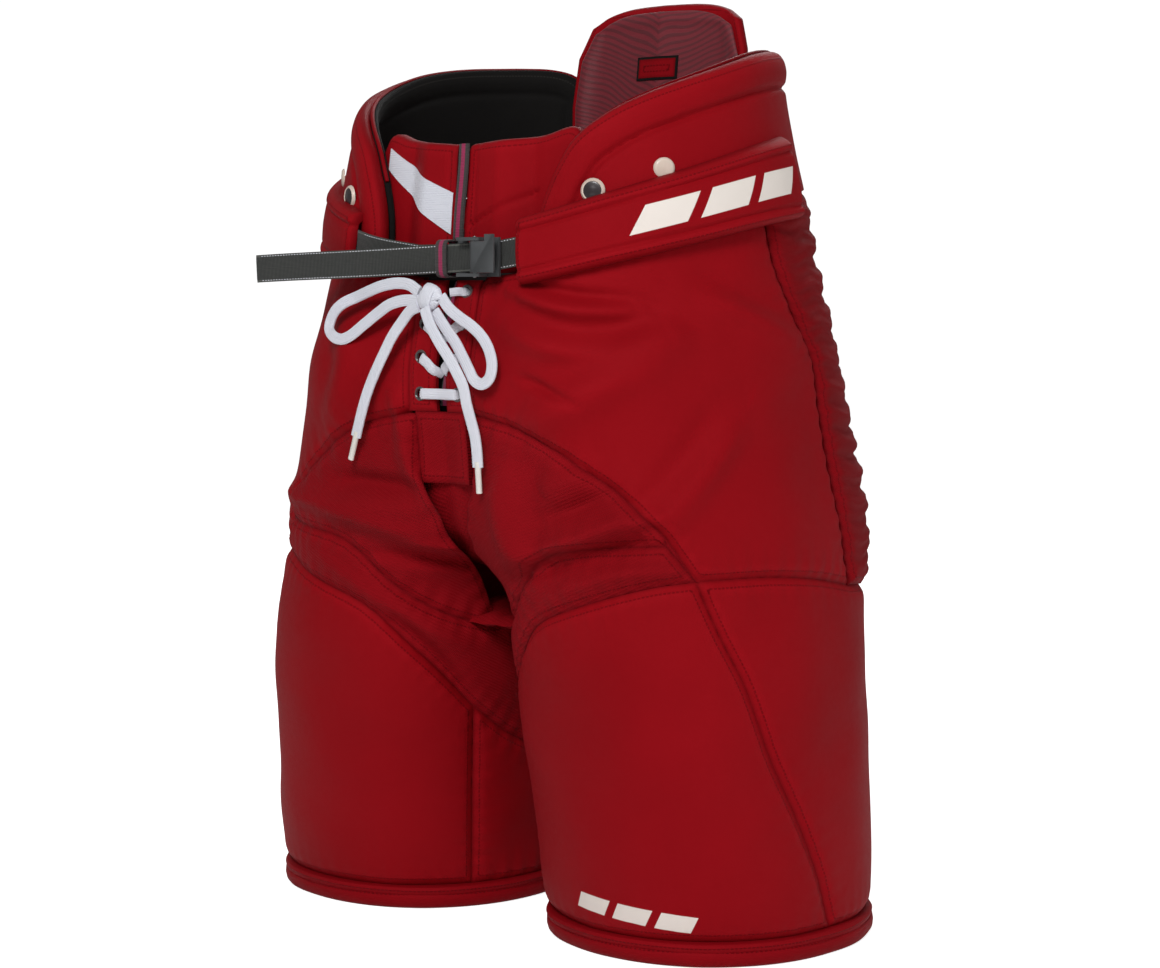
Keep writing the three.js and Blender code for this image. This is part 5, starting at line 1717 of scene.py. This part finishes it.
# ------------------------------------------------------------------ belt
@dataclass
class Belt:
    """The webbing, its padded covers, the free end, the keeper and the buckle."""

    bench: Bench
    width: float = 20.0
    thick: float = 1.8
    lift: float = 3.0
    thread: tuple[float, float, float] = (2.6, 1.7, 0.34)
    tail_length: float = 196.0

    def build(self) -> None:
        """Makes every piece of the belt."""
        self.cover(Side.LEFT, -89, 12)
        self.cover(Side.RIGHT, -77, 12)
        p = self.bench.pattern
        waist = p.skin.heights.waist
        middle = self.lift + self.thick / 2
        angle = np.linspace(float(p.angle(46, waist)), 8, 90)
        left = p.skin.point(Side.LEFT, angle, p.belt_height(angle), middle)
        self.webbing("left", left, outward(p.skin, Side.LEFT, angle, p.belt_height(angle)), 24)
        angle = np.linspace(8, float(p.angle(27, waist)), 90)
        right = p.skin.point(Side.RIGHT, angle, p.belt_height(angle), middle)
        x = np.linspace(-26, 18, 14)
        across = p.skin.middle(x, waist, Facing.FRONT, middle)
        facing = np.vstack([outward(p.skin, Side.RIGHT, angle, p.belt_height(angle)), np.tile([0, -1.0, 0], (14, 1))])
        self.webbing("right", np.vstack([right, across]), facing, -34)
        self.tail(waist)
        self.keeper(waist)
        for node, rides, slot, bevel in (("buckle_frame", "torso", Slot.BUCKLE, 0.5),
                                         ("buckle_lever", "lever", Slot.BUCKLE, 0.3),
                                         ("lever_pin", "torso", Slot.PIN, 0.25)):
            self.bench.dress(from_node(node, bevel), slot, rides, node)

    def cover(self, side: Side, start: float, end: float) -> None:
        """The padded strip over the belt on one hip."""
        p, word = self.bench.pattern, side.word
        angle = np.linspace(start, end, 30)
        reach = self.width / 2 + np.linspace(13, 19, 30)
        height = p.belt_height(angle)
        low, high = (np.stack([angle, height + sign * reach], -1).tolist() for sign in (-1, 1))

        def outside(s: Spots) -> Array:
            gap = s.nearest("top", "bottom")
            ends = 0.4 + 0.6 * round_edge(s.nearest("left", "right"), 6)
            puff = 1.2 * np.exp(-(((gap - 5) / 4) ** 2)) - groove(gap, 10, -1.8, 1.6)
            return 1.0 + (10.2 * round_edge(gap, 8) + puff + crown(gap, 1.2, 20)) * ends + 0.6 * self.bench.relief.ripple(s.points)

        cover = self.bench.panel(f"belt_cover_{word}_pad", side, (low, high, [low[0], high[0]], [low[-1], high[-1]]),
                                 (96, 44), outside, lambda s: 0.8 + 4.8 * smoothstep(s.nearest("top", "bottom"), 4, 10))
        bars = None
        if side is Side.LEFT:
            chart = np.empty(len(cover.data.loops) * 2, np.float32)
            layer = cover.data.uv_layers["cloth"]
            layer.data.foreach_get("uv", chart)
            chart = chart.reshape(-1, 2)
            chart[:, 1] -= p.belt_height(chart[:, 0] / MM_PER_DEGREE)
            layer.data.foreach_set("uv", chart.ravel())
            bars = Bars(-106, 14, -9, 9, 41, 33, 0.5)
        self.bench.dress(cover, Slot.SHELL, "torso", f"belt_cover_{word}", fill=0.7, bars=bars)

    def webbing(self, word: str, path: Array, normals: Array, stitched: int) -> None:
        """One half of the belt with the rows of thread where it shows."""
        piece = ribbon(f"belt_webbing_{word}_strap", path, normals, self.width, self.thick, 20, 9.0)
        self.bench.dress(piece, Slot.WEBBING, "torso", f"belt_webbing_{word}")
        part = slice(0, stitched) if stitched > 0 else slice(stitched, None)
        self.threads(f"belt_thread_{word}", path[part], normals[part], "torso")

    def threads(self, name: str, path: Array, normals: Array, rides: str) -> None:
        """The two rows of pale thread along the edges of webbing."""
        tangent = np.gradient(path, axis=0)
        across = np.cross(tangent, normals)
        across /= np.linalg.norm(across, axis=1, keepdims=True)
        front = path + normals * self.thick / 2
        rows = [stitch_row(f"{name}_{k}", front + across * sign * (self.width / 2 - 1.2), normals, *self.thread)
                for k, sign in enumerate((-1, 1))]
        self.bench.dress(joined(name, rows), Slot.LACE, rides)

    def tail(self, waist: float) -> None:
        """The free end of the belt, flat in front of the fly."""
        start = np.array([27, -137.3, waist + 1])
        ahead = np.array([-0.99781, -0.05996, -0.02795])
        front = np.array([0.05996, -0.9982, 0])
        run = np.linspace(0, self.tail_length, 66)[:, None]
        sag = np.sin(run / self.tail_length * math.pi * 1.3) * 0.8
        path = start + ahead * run + front * (self.thick / 2 + sag * 0.4) + np.array([0, 0, -1]) * (sag + 3 * (run / self.tail_length) ** 2)
        normals = np.tile(front, (len(run), 1))
        piece = ribbon("belt_tail_strap", path, normals, self.width, self.thick, 20, 9.0)
        self.bench.dress(piece, Slot.WEBBING, "strap_end", "belt_tail")
        self.threads("belt_thread_tail", path[10:-1], normals[10:-1], "strap_end")

    def keeper(self, waist: float) -> None:
        """The loop of striped tape over the belt, at the end of the binding."""
        low_box, high_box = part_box("belt_keeper")
        x = (low_box.x + high_box.x) / 2 / MM
        back, front = high_box.y / MM - 1, low_box.y / MM + 0.8
        half = (high_box.z - low_box.z) / 2 / MM - 0.8
        middle = (back + front) / 2
        turn = np.linspace(math.pi * 0.5, math.pi * 2.48, 60)
        c, s = np.cos(turn), np.sin(turn)
        power = 5.0
        r = (np.abs(c / half) ** power + np.abs(s / (back - middle)) ** power) ** (-1 / power)
        path = np.stack([np.full(60, x) - 1.2 * s * 0, middle + r * s, waist + r * c], -1)
        normals = np.stack([np.zeros(60), s / (back - middle), c / half], -1)
        piece = ribbon("belt_keeper_loop", path, normals, 10, 1.3, 16, 6.0)
        self.bench.dress(piece, Slot.TAPE, "torso", "belt_keeper")


def from_node(node: str, bevel: float) -> bpy.types.Object:
    """A hard piece with its flat faces cleaned and its edges rounded.

    Args:
        node: The node whose shape it takes.
        bevel: Radius of the rounded edges.

    Returns:
        The piece.
    """
    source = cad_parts[node]
    bm = bmesh.new()
    bm.from_mesh(source.data)
    bmesh.ops.transform(bm, matrix=source.matrix_world, verts=bm.verts[:])
    bmesh.ops.remove_doubles(bm, verts=bm.verts[:], dist=0.02 * MM)
    bmesh.ops.dissolve_limit(bm, angle_limit=math.radians(0.4), verts=bm.verts[:], edges=bm.edges[:])
    corner = math.radians(35)
    edges = [e for e in bm.edges if e.is_manifold and e.calc_face_angle() > corner]
    bmesh.ops.bevel(bm, geom=edges, offset=bevel * MM, segments=3, profile=0.5, affect="EDGES", material=-1,
                    clamp_overlap=True)
    piece = finish_mesh(f"{node}_part", bm, 12)
    small = 3e-6
    piece.data.polygons.foreach_set("use_smooth", [face.area < small for face in piece.data.polygons])
    return piece


# ------------------------------------------------------------------ fly and laces
@dataclass
class Fly:
    """The laced fly: two flaps with eyelets, what lies behind them, the patch and the binding."""

    bench: Bench
    reach: float = 17.0
    hole: float = 3.4
    flap: float = 3.4
    shares: tuple[float, ...] = (0.9125, 0.666, 0.4145, 0.1355)

    def rows(self) -> list[float]:
        """The heights of the eyelets, from the top."""
        p = self.bench.pattern
        low, high = p.box_high + 1.6, p.skin.heights.waist - self.reach + 2
        return [low + (high - low) * share for share in self.shares]

    def build(self) -> None:
        """Makes every piece of the fly."""
        p = self.bench.pattern
        waist = p.skin.heights.waist
        low, high = p.box_high + 1.6, waist - 15
        face = lambda s: 0.8 - 1.2 * np.exp(-(s.nearest() / 2.5) ** 2) + 0.5 * self.bench.relief.ripple(s.points)
        for word, left, right in (("left", 4.5, 27.6), ("right", -27.6, -4.5)):
            flap = self.bench.plate(f"fly_flap_{word}_cloth", Facing.FRONT, (left, right, low, high), (26, 90), face,
                                    lambda s: np.full(len(s.u), -self.flap))
            sign = 1 if word == "left" else -1
            self.punch(flap, [(sign * self.reach, z) for z in self.rows()])
            self.bench.dress(flap, Slot.SHELL, "torso", f"fly_flap_{word}")
        under = self.bench.plate("fly_underlay_cloth", Facing.FRONT, (-26.2, 26.2, low, high), (20, 40),
                                 lambda s: np.full(len(s.u), -9.2), lambda s: np.full(len(s.u), -12.2))
        self.bench.dress(under, Slot.LINER, "torso", "fly_underlay")
        patch = self.bench.plate(
            "fly_patch_cloth", Facing.FRONT, (-22.6, 22.6, p.box_low - 3, p.box_high + 1.4), (36, 38),
            lambda s: 0.9 - 1.2 * np.exp(-(s.nearest() / 2.4) ** 2) + 1.2 * self.bench.relief.ripple(s.points),
            lambda s: np.full(len(s.u), -5.0))
        self.bench.dress(patch, Slot.MESH, "torso", "fly_patch")
        self.tapes(waist, low)
        for k, z in enumerate(self.rows()):
            for sign in (-1, 1):
                x = sign * self.reach
                at = self.bench.skin.middle(x, z, Facing.FRONT, 0.9)
                rim = [(self.hole - 0.1, -1.4), (self.hole - 0.1, 0.2), (self.hole + 0.5, 0.7), (self.hole + 1.4, 0.4),
                       (self.hole + 1.8, -0.4), (self.hole + 0.8, -1.0)]
                ahead = self.bench.skin.middle(x, z, Facing.FRONT, 5) - at
                eyelet = lathe(f"eyelet_{k}_{'left' if sign > 0 else 'right'}", rim, at, ahead, closed=True)
                self.bench.dress(eyelet, Slot.SNAP_DARK, "torso")

    def punch(self, flap: bpy.types.Object, spots: Sequence[tuple[float, float]]) -> None:
        """Cuts the eyelet holes through a flap."""
        bm = bmesh.new()
        quarter = Matrix.Rotation(math.pi / 2, 4, "X")
        for x, z in spots:
            y = float(self.bench.skin.middle(x, z, Facing.FRONT, 0)[1])
            bmesh.ops.create_cone(bm, cap_ends=True, segments=24, radius1=self.hole * MM, radius2=self.hole * MM,
                                  depth=30 * MM, matrix=Matrix.Translation(Vector((x, y, z)) * MM) @ quarter)
        tool = finish_mesh("punch", bm)
        cut = flap.modifiers.new("holes", "BOOLEAN")
        cut.object, cut.operation, cut.solver = tool, "DIFFERENCE", "EXACT"
        bpy.context.view_layer.update()
        mesh = bpy.data.meshes.new_from_object(flap.evaluated_get(bpy.context.evaluated_depsgraph_get()))
        flap.modifiers.clear()
        flap.data = mesh
        bpy.data.objects.remove(tool)

    def tapes(self, waist: float, low: float) -> None:
        """The striped binding between the belly pads, and its end in the slit of the fly."""
        skin = self.bench.skin
        z = np.linspace(waist + 80, waist + 14, 40)
        path = skin.middle(2 + 0.8 * np.sin(z / 14), z, Facing.FRONT, -0.2)
        binding = ribbon("fly_binding_tape", path, np.tile([0, -1.0, 0], (40, 1)), 9.0, 2.4, 18, 3.0)
        self.bench.dress(binding, Slot.TAPE, "torso", "fly_binding")
        z = np.linspace(waist - 16, low + 4, 40)
        path = skin.middle(1.2 * np.sin(z / 9), z, Facing.FRONT, -5.5)
        facing = np.stack([0.5 * np.sin(z / 11), np.full(40, -1.0), np.zeros(40)], -1)
        slit = ribbon("slit_tape", path, facing, 8.5, 1.6, 16, 3.0)
        self.bench.dress(slit, Slot.TAPE, "torso")


def lathe(name: str, profile: Sequence[tuple[float, float]], at: Array, out: Array, closed: bool = False,
          steps: int = 32) -> bpy.types.Object:
    """A turned piece standing on a surface.

    Args:
        name: The piece's name.
        profile: Radius and height of each point of its outline.
        at: Where its axis meets the surface.
        out: The direction of its axis.
        closed: Whether the outline joins up round a hole.
        steps: Sides of the turned piece.

    Returns:
        The piece.
    """
    bm = bmesh.new()
    verts = [bm.verts.new((r, 0, z)) for r, z in profile]
    pairs = zip(verts, verts[1:] + verts[:1]) if closed else zip(verts, verts[1:])
    edges = [bm.edges.new(pair) for pair in pairs]
    bmesh.ops.spin(bm, geom=verts + edges, cent=(0, 0, 0), axis=(0, 0, 1), angle=2 * math.pi, steps=steps,
                   use_merge=True)
    bmesh.ops.remove_doubles(bm, verts=bm.verts[:], dist=1e-4)
    bmesh.ops.recalc_face_normals(bm, faces=bm.faces[:])
    turn = Vector(out).to_track_quat("Z", "Y").to_matrix().to_4x4()
    bmesh.ops.transform(bm, matrix=Matrix.Translation(Vector(at) * MM) @ turn @ Matrix.Scale(MM, 4), verts=bm.verts[:])
    return finish_mesh(name, bm, 45)


@dataclass
class Snaps:
    """The stud buttons for braces above the belt."""

    bench: Bench
    radius: float = 7.5

    def build(self) -> None:
        """Makes two studs on each side: dark in front and cream beyond it."""
        p = self.bench.pattern
        r = self.radius
        cap = [(0, 2.6), (r * 0.35, 2.55), (r * 0.5, 2.2), (r * 0.72, 2.3), (r * 0.86, 1.9), (r * 0.98, 1.0), (r, 0.3),
               (r * 0.98, 0), (0, 0)]
        rim = [(r * 0.84, 0.5), (r * 0.84, 2.2), (r * 0.95, 2.6), (r * 1.1, 1.4), (r * 1.14, 0.4)]
        for side in Side:
            for place, angle, rise, slot in (("front", -66, 28, Slot.SNAP_DARK), ("side", -44, 30, Slot.SNAP_PALE)):
                z = float(p.belt_height(angle)) + rise
                at = p.skin.point(side, angle, z, 0.2)
                ahead = outward(p.skin, side, np.array([angle]), np.array([z]))[0]
                stud = lathe(f"snap_{place}_{side.word}_cap", cap, at + ahead * 0.9, ahead)
                self.bench.dress(stud, slot, "torso", f"snap_{place}_{side.word}")
                if place == "front":
                    ring_piece = lathe(f"snap_rim_{side.word}", rim, at + ahead * 0.6, ahead, closed=True)
                    self.bench.dress(ring_piece, Slot.SNAP_PALE, "torso")


@dataclass
class Laces:
    """The flat laces: the lacing of the fly, the bow, its knot and the two ends."""

    bench: Bench
    fly: Fly
    width: float = 8.4
    thick: float = 2.6
    aglet: float = 18.0

    def build(self) -> None:
        """Makes the knot first, then what leaves it."""
        self.knot()
        routes = {
            "lace_loop_left": [
                [-9, -153, 457], [-20, -151, 462], [-32, -150, 463], [-47, -149, 461], [-62, -147, 457], [-75, -145, 453],
                [-85, -147, 449], [-92, -148, 444], [-97, -148, 437], [-98, -149, 430], [-93, -150, 425],
                [-86, -150, 423], [-78, -150, 425], [-63, -150, 434], [-50, -150, 442], [-38, -151, 448],
                [-24, -152, 451], [-9, -153, 451]],
            "lace_loop_right": [
                [11, -153, 454], [18, -153, 446], [27, -153, 440], [38, -153, 434], [48, -153, 426], [54, -153, 416.5],
                [56, -153, 407], [53.5, -153, 398.5], [47, -153, 394.5], [40.5, -153, 397], [36, -153, 403.5], [31, -153, 411.5],
                [24, -153, 422], [16, -153, 431], [10, -153, 438], [5, -153, 444]],
            "lace_tail_left": [
                [-9, -154, 447], [-17, -153, 444], [-26, -152, 436], [-34, -153, 426], [-42, -153, 414],
                [-50, -153, 401], [-57, -153, 388], [-62, -153, 376], [-67, -152, 364], [-71, -151, 354]],
            "lace_tail_right": [
                [1, -159, 446], [6, -160, 436], [14, -160, 424], [22, -159, 413], [29, -158, 402], [33, -156, 392],
                [35, -155, 381], [37, -153, 370], [39, -151, 359], [40, -150, 348], [40, -149, 337]],
        }
        for name, route in routes.items():
            self.strand(name, route)
        self.lacing()

    def strand(self, name: str, route: Sequence[Sequence[float]]) -> None:
        """One free run of lace from the knot."""
        loop = "loop" in name
        path = smooth_path(route, 2.0)
        facing = np.tile([0.15, -1.0, 0.05], (len(path), 1))
        strand = ribbon(f"{name}_strap", path, facing, self.width, self.thick, 14, 2.6)
        self.bench.dress(strand, Slot.LACE, "torso", name)
        pieces = [self.knot_piece] if name == "lace_loop_left" else []
        if not loop:
            ahead = path[-1] - path[-2]
            ahead /= np.linalg.norm(ahead)
            run = np.linspace(-4, self.aglet, 10)[:, None]
            tip = ribbon(f"{name}_tip", path[-1] + ahead * run, facing[:10], 4.6, 3.6, 12, 2.0)
            self.bench.dress(tip, Slot.TIP, "torso", name.replace("tail", "aglet"))
            pieces.append(tip)

    def knot(self) -> None:
        """The knot: a band of lace wrapped round the crossing."""
        centre = np.array([1, -153.5, 453])
        turn = np.linspace(0, 2 * math.pi * 0.995, 40)
        parts = []
        for k, (tilt, reach, depth, width) in enumerate(((0.35, 8.8, 5.0, 10.0), (-0.7, 7.4, 3.8, 9.0), (1.25, 9.6, 3.6, 8.4))):
            up = np.array([math.sin(tilt), 0, math.cos(tilt)])
            path = centre + np.outer(np.cos(turn) * reach, up) + np.outer(np.sin(turn) * depth, [0, -1, 0])
            parts.append(ribbon(f"knot_{k}", path, path - centre, width, 2.4, 12, 2.6))
        self.knot_piece = joined("lace_knot_wrap", parts)
        self.bench.dress(self.knot_piece, Slot.LACE, "torso", "lace_knot")

    def lacing(self) -> None:
        """The lace between the eyelets."""
        rows = self.fly.rows()
        parts = []
        for sign in (-1, 1):
            for k, z in enumerate(rows[1:3]):
                route = [(17, z, -5), (15.5, z - 0.5, 1.6), (10, z - 4, 2.6), (5, z - 8.5, 2.2), (1.5, z - 12, -5)]
                points = [self.bench.skin.middle(sign * x, h, Facing.FRONT, d) for x, h, d in route]
                parts.append(self.strap(f"lacing_{sign}_{k}", points, 7.6))
            route = [(17, rows[0], -5), (15.5, rows[0], 1.8), (10, rows[0] + 0.2, 3.0), (5, rows[0] - 0.5, 6.0)]
            points = [self.bench.skin.middle(sign * x, h, Facing.FRONT, d) for x, h, d in route]
            parts.append(self.strap(f"lacing_top_{sign}", points, 6.0))
        z = rows[3]
        bar = [(-17, -5), (-15.5, 1.4), (-9, 2.6), (0, 2.8), (9, 2.6), (15.5, 1.4), (17, -5)]
        parts.append(self.strap("lacing_bar", [self.bench.skin.middle(x, z, Facing.FRONT, d) for x, d in bar], 7.6))
        self.bench.dress(joined("fly_lacing_strap", parts), Slot.LACE, "torso", "fly_lacing")

    def strap(self, name: str, points: Sequence[Array], width: float) -> bpy.types.Object:
        """A short run of lace."""
        path = smooth_path([p.tolist() for p in points], 1.5)
        return ribbon(name, path, np.tile([0, -1.0, 0.05], (len(path), 1)), width, 2.2, 12, 2.8)


# ------------------------------------------------------------------ surroundings
@dataclass(frozen=True)
class Softbox:
    """A square lamp that faces the object."""

    name: str
    place: tuple[float, float, float]
    size: float
    power: float

    def build(self, target: Vector) -> None:
        """Hangs the lamp, facing target."""
        lamp = bpy.data.lights.new(self.name, "AREA")
        lamp.shape, lamp.size, lamp.energy = "SQUARE", self.size, self.power
        holder = bpy.data.objects.new(self.name, lamp)
        holder.location = self.place
        holder.rotation_euler = (target - Vector(self.place)).to_track_quat("-Z", "Y").to_euler()
        bpy.context.scene.collection.objects.link(holder)


def build_surroundings() -> None:
    """A pale floor, soft lamps, an even sky and the camera."""
    floor_size = 12.0
    bm = bmesh.new()
    bmesh.ops.create_grid(bm, x_segments=1, y_segments=1, size=floor_size)
    floor = finish_mesh("floor", bm)
    material, g, shader = start_material("pale floor")
    mottle = place_group(g, "mottle", Place=g.add("TexCoord").outputs["Object"], Scale=3.0)
    g.feed(shader.inputs["Base Color"], g.mix(mottle.outputs["Mask"], (0.9, 0.9, 0.9, 1), (0.94, 0.94, 0.94, 1)))
    shader.inputs["Roughness"].default_value = 0.8
    shader.inputs["Emission Color"].default_value = (1, 1, 1, 1)
    direct = g.tree.nodes.new("ShaderNodeLightPath").outputs["Is Camera Ray"]
    g.feed(shader.inputs["Emission Strength"], g.math("MULTIPLY", direct, 0.84))
    floor.data.materials.append(material)
    world = bpy.data.worlds.new("sky")
    world.use_nodes = True
    bpy.context.scene.world = world
    w = Graph(world.node_tree)
    seen = w.tree.nodes.new("ShaderNodeLightPath").outputs["Is Camera Ray"]
    back = world.node_tree.nodes["Background"]
    w.feed(back.inputs["Color"], (1, 1, 1, 1))
    w.feed(back.inputs["Strength"], w.math("ADD", 0.22, w.math("MULTIPLY", seen, 0.83)))
    target = Vector((0, 0, 0.3))
    for box in (Softbox("key", (0.9, -2.1, 2.0), 0.9, 46), Softbox("fill", (2.4, -0.4, 0.8), 1.6, 9),
                Softbox("rim", (-0.9, 1.9, 1.9), 1.2, 22)):
        box.build(target)
    azimuth, pitch, yaw = math.radians(37.5), math.atan2(208, 2450), math.atan2(10, 2450)
    level = (Vector((-math.sin(azimuth), math.cos(azimuth), 0)) * math.cos(yaw)
             + Vector((math.cos(azimuth), math.sin(azimuth), 0)) * math.sin(yaw))
    lens = bpy.data.cameras.new("camera")
    lens.lens, lens.sensor_width = 76.03, 36.0
    camera = bpy.data.objects.new("camera", lens)
    camera.location = (1.1110, -1.4409, 0.468)
    camera.rotation_euler = (level * math.cos(pitch) - Vector((0, 0, math.sin(pitch)))).to_track_quat("-Z", "Y").to_euler()
    bpy.context.scene.collection.objects.link(camera)
    bpy.context.scene.camera = camera
    bpy.context.scene.view_settings.view_transform = "Standard"


def main() -> None:
    """Builds the whole object and its surroundings."""
    logging.basicConfig(level=logging.INFO, format="%(message)s")
    build_surroundings()
    skin = Skin(Heights.from_frame())
    relief = Relief()
    relief.folds[Side.LEFT] = [
        Fold([[-102, 345], [-104, 311], [-104, 281], [-103, 262]], 5.5, 11, 0.3),
        Fold([[-92, 322], [-78, 339]], 2.8, 8, 0.2),
        Fold([[-92, 304], [-80, 314], [-72, 324]], -4.5, 6.5, 0),
        Fold([[-101, 276], [-84, 290], [-66, 306], [-56, 306]], 5, 7, 0),
        Fold([[-114, 256], [-86, 277], [-62, 292]], -5, 5.5, 0),
        Fold([[-100, 245], [-72, 269], [-54, 273]], 3, 6, 0.3),
        Fold([[-100, 362], [-79, 382], [-58, 408], [-42, 440]], 5, 13, 0.4),
        Fold([[-92, 399], [-76, 382]], -2.6, 4, 0),
        Fold([[-57, 304], [-44, 336], [-30, 372]], 4, 10, 0.4),
        Fold([[-96, 461], [-78, 447], [-56, 443]], 3.8, 6, 0.8),
        Fold([[-98, 436], [-76, 417], [-48, 428]], 3.5, 9, 0.6),
        Fold([[-40, 458], [-20, 440], [2, 420]], 3, 9, 0.5)]
    relief.folds[Side.RIGHT] = [
        Fold([[-90, 323], [-104, 321], [-118, 318]], -5, 7, 0),
        Fold([[-46, 307], [-80, 306], [-118, 301]], 4.5, 8, 0),
        Fold([[-84, 300], [-100, 294], [-122, 282]], 4, 7, 0.3),
        Fold([[-104, 271], [-126, 266], [-142, 259]], -5.5, 6, 0),
        Fold([[-112, 226], [-128, 195], [-143, 160]], -4.5, 6, 0),
        Fold([[-106, 388], [-109, 370], [-114, 334], [-124, 306], [-136, 275]], 5.5, 6, 0),
        Fold([[-116, 278], [-128, 275], [-138, 272]], 3, 4, 0.5),
        Fold([[-72, 451], [-88, 408], [-84, 357]], 3.5, 10, 0.4),
        Fold([[-86, 265], [-116, 228], [-143, 196]], 3, 7, 0)]
    bench = Bench(skin, Pattern(skin), relief)
    fly = Fly(bench)
    Laces(bench, fly).build()
    for side in Side:
        Leg(bench, side).build()
        Hips(bench, side).build()
        Pads(bench, side).build()
    Seat(bench).build()
    Spine(bench).build()
    Belt(bench).build()
    fly.build()
    Snaps(bench).build()


if __name__ == "__main__":
    main()
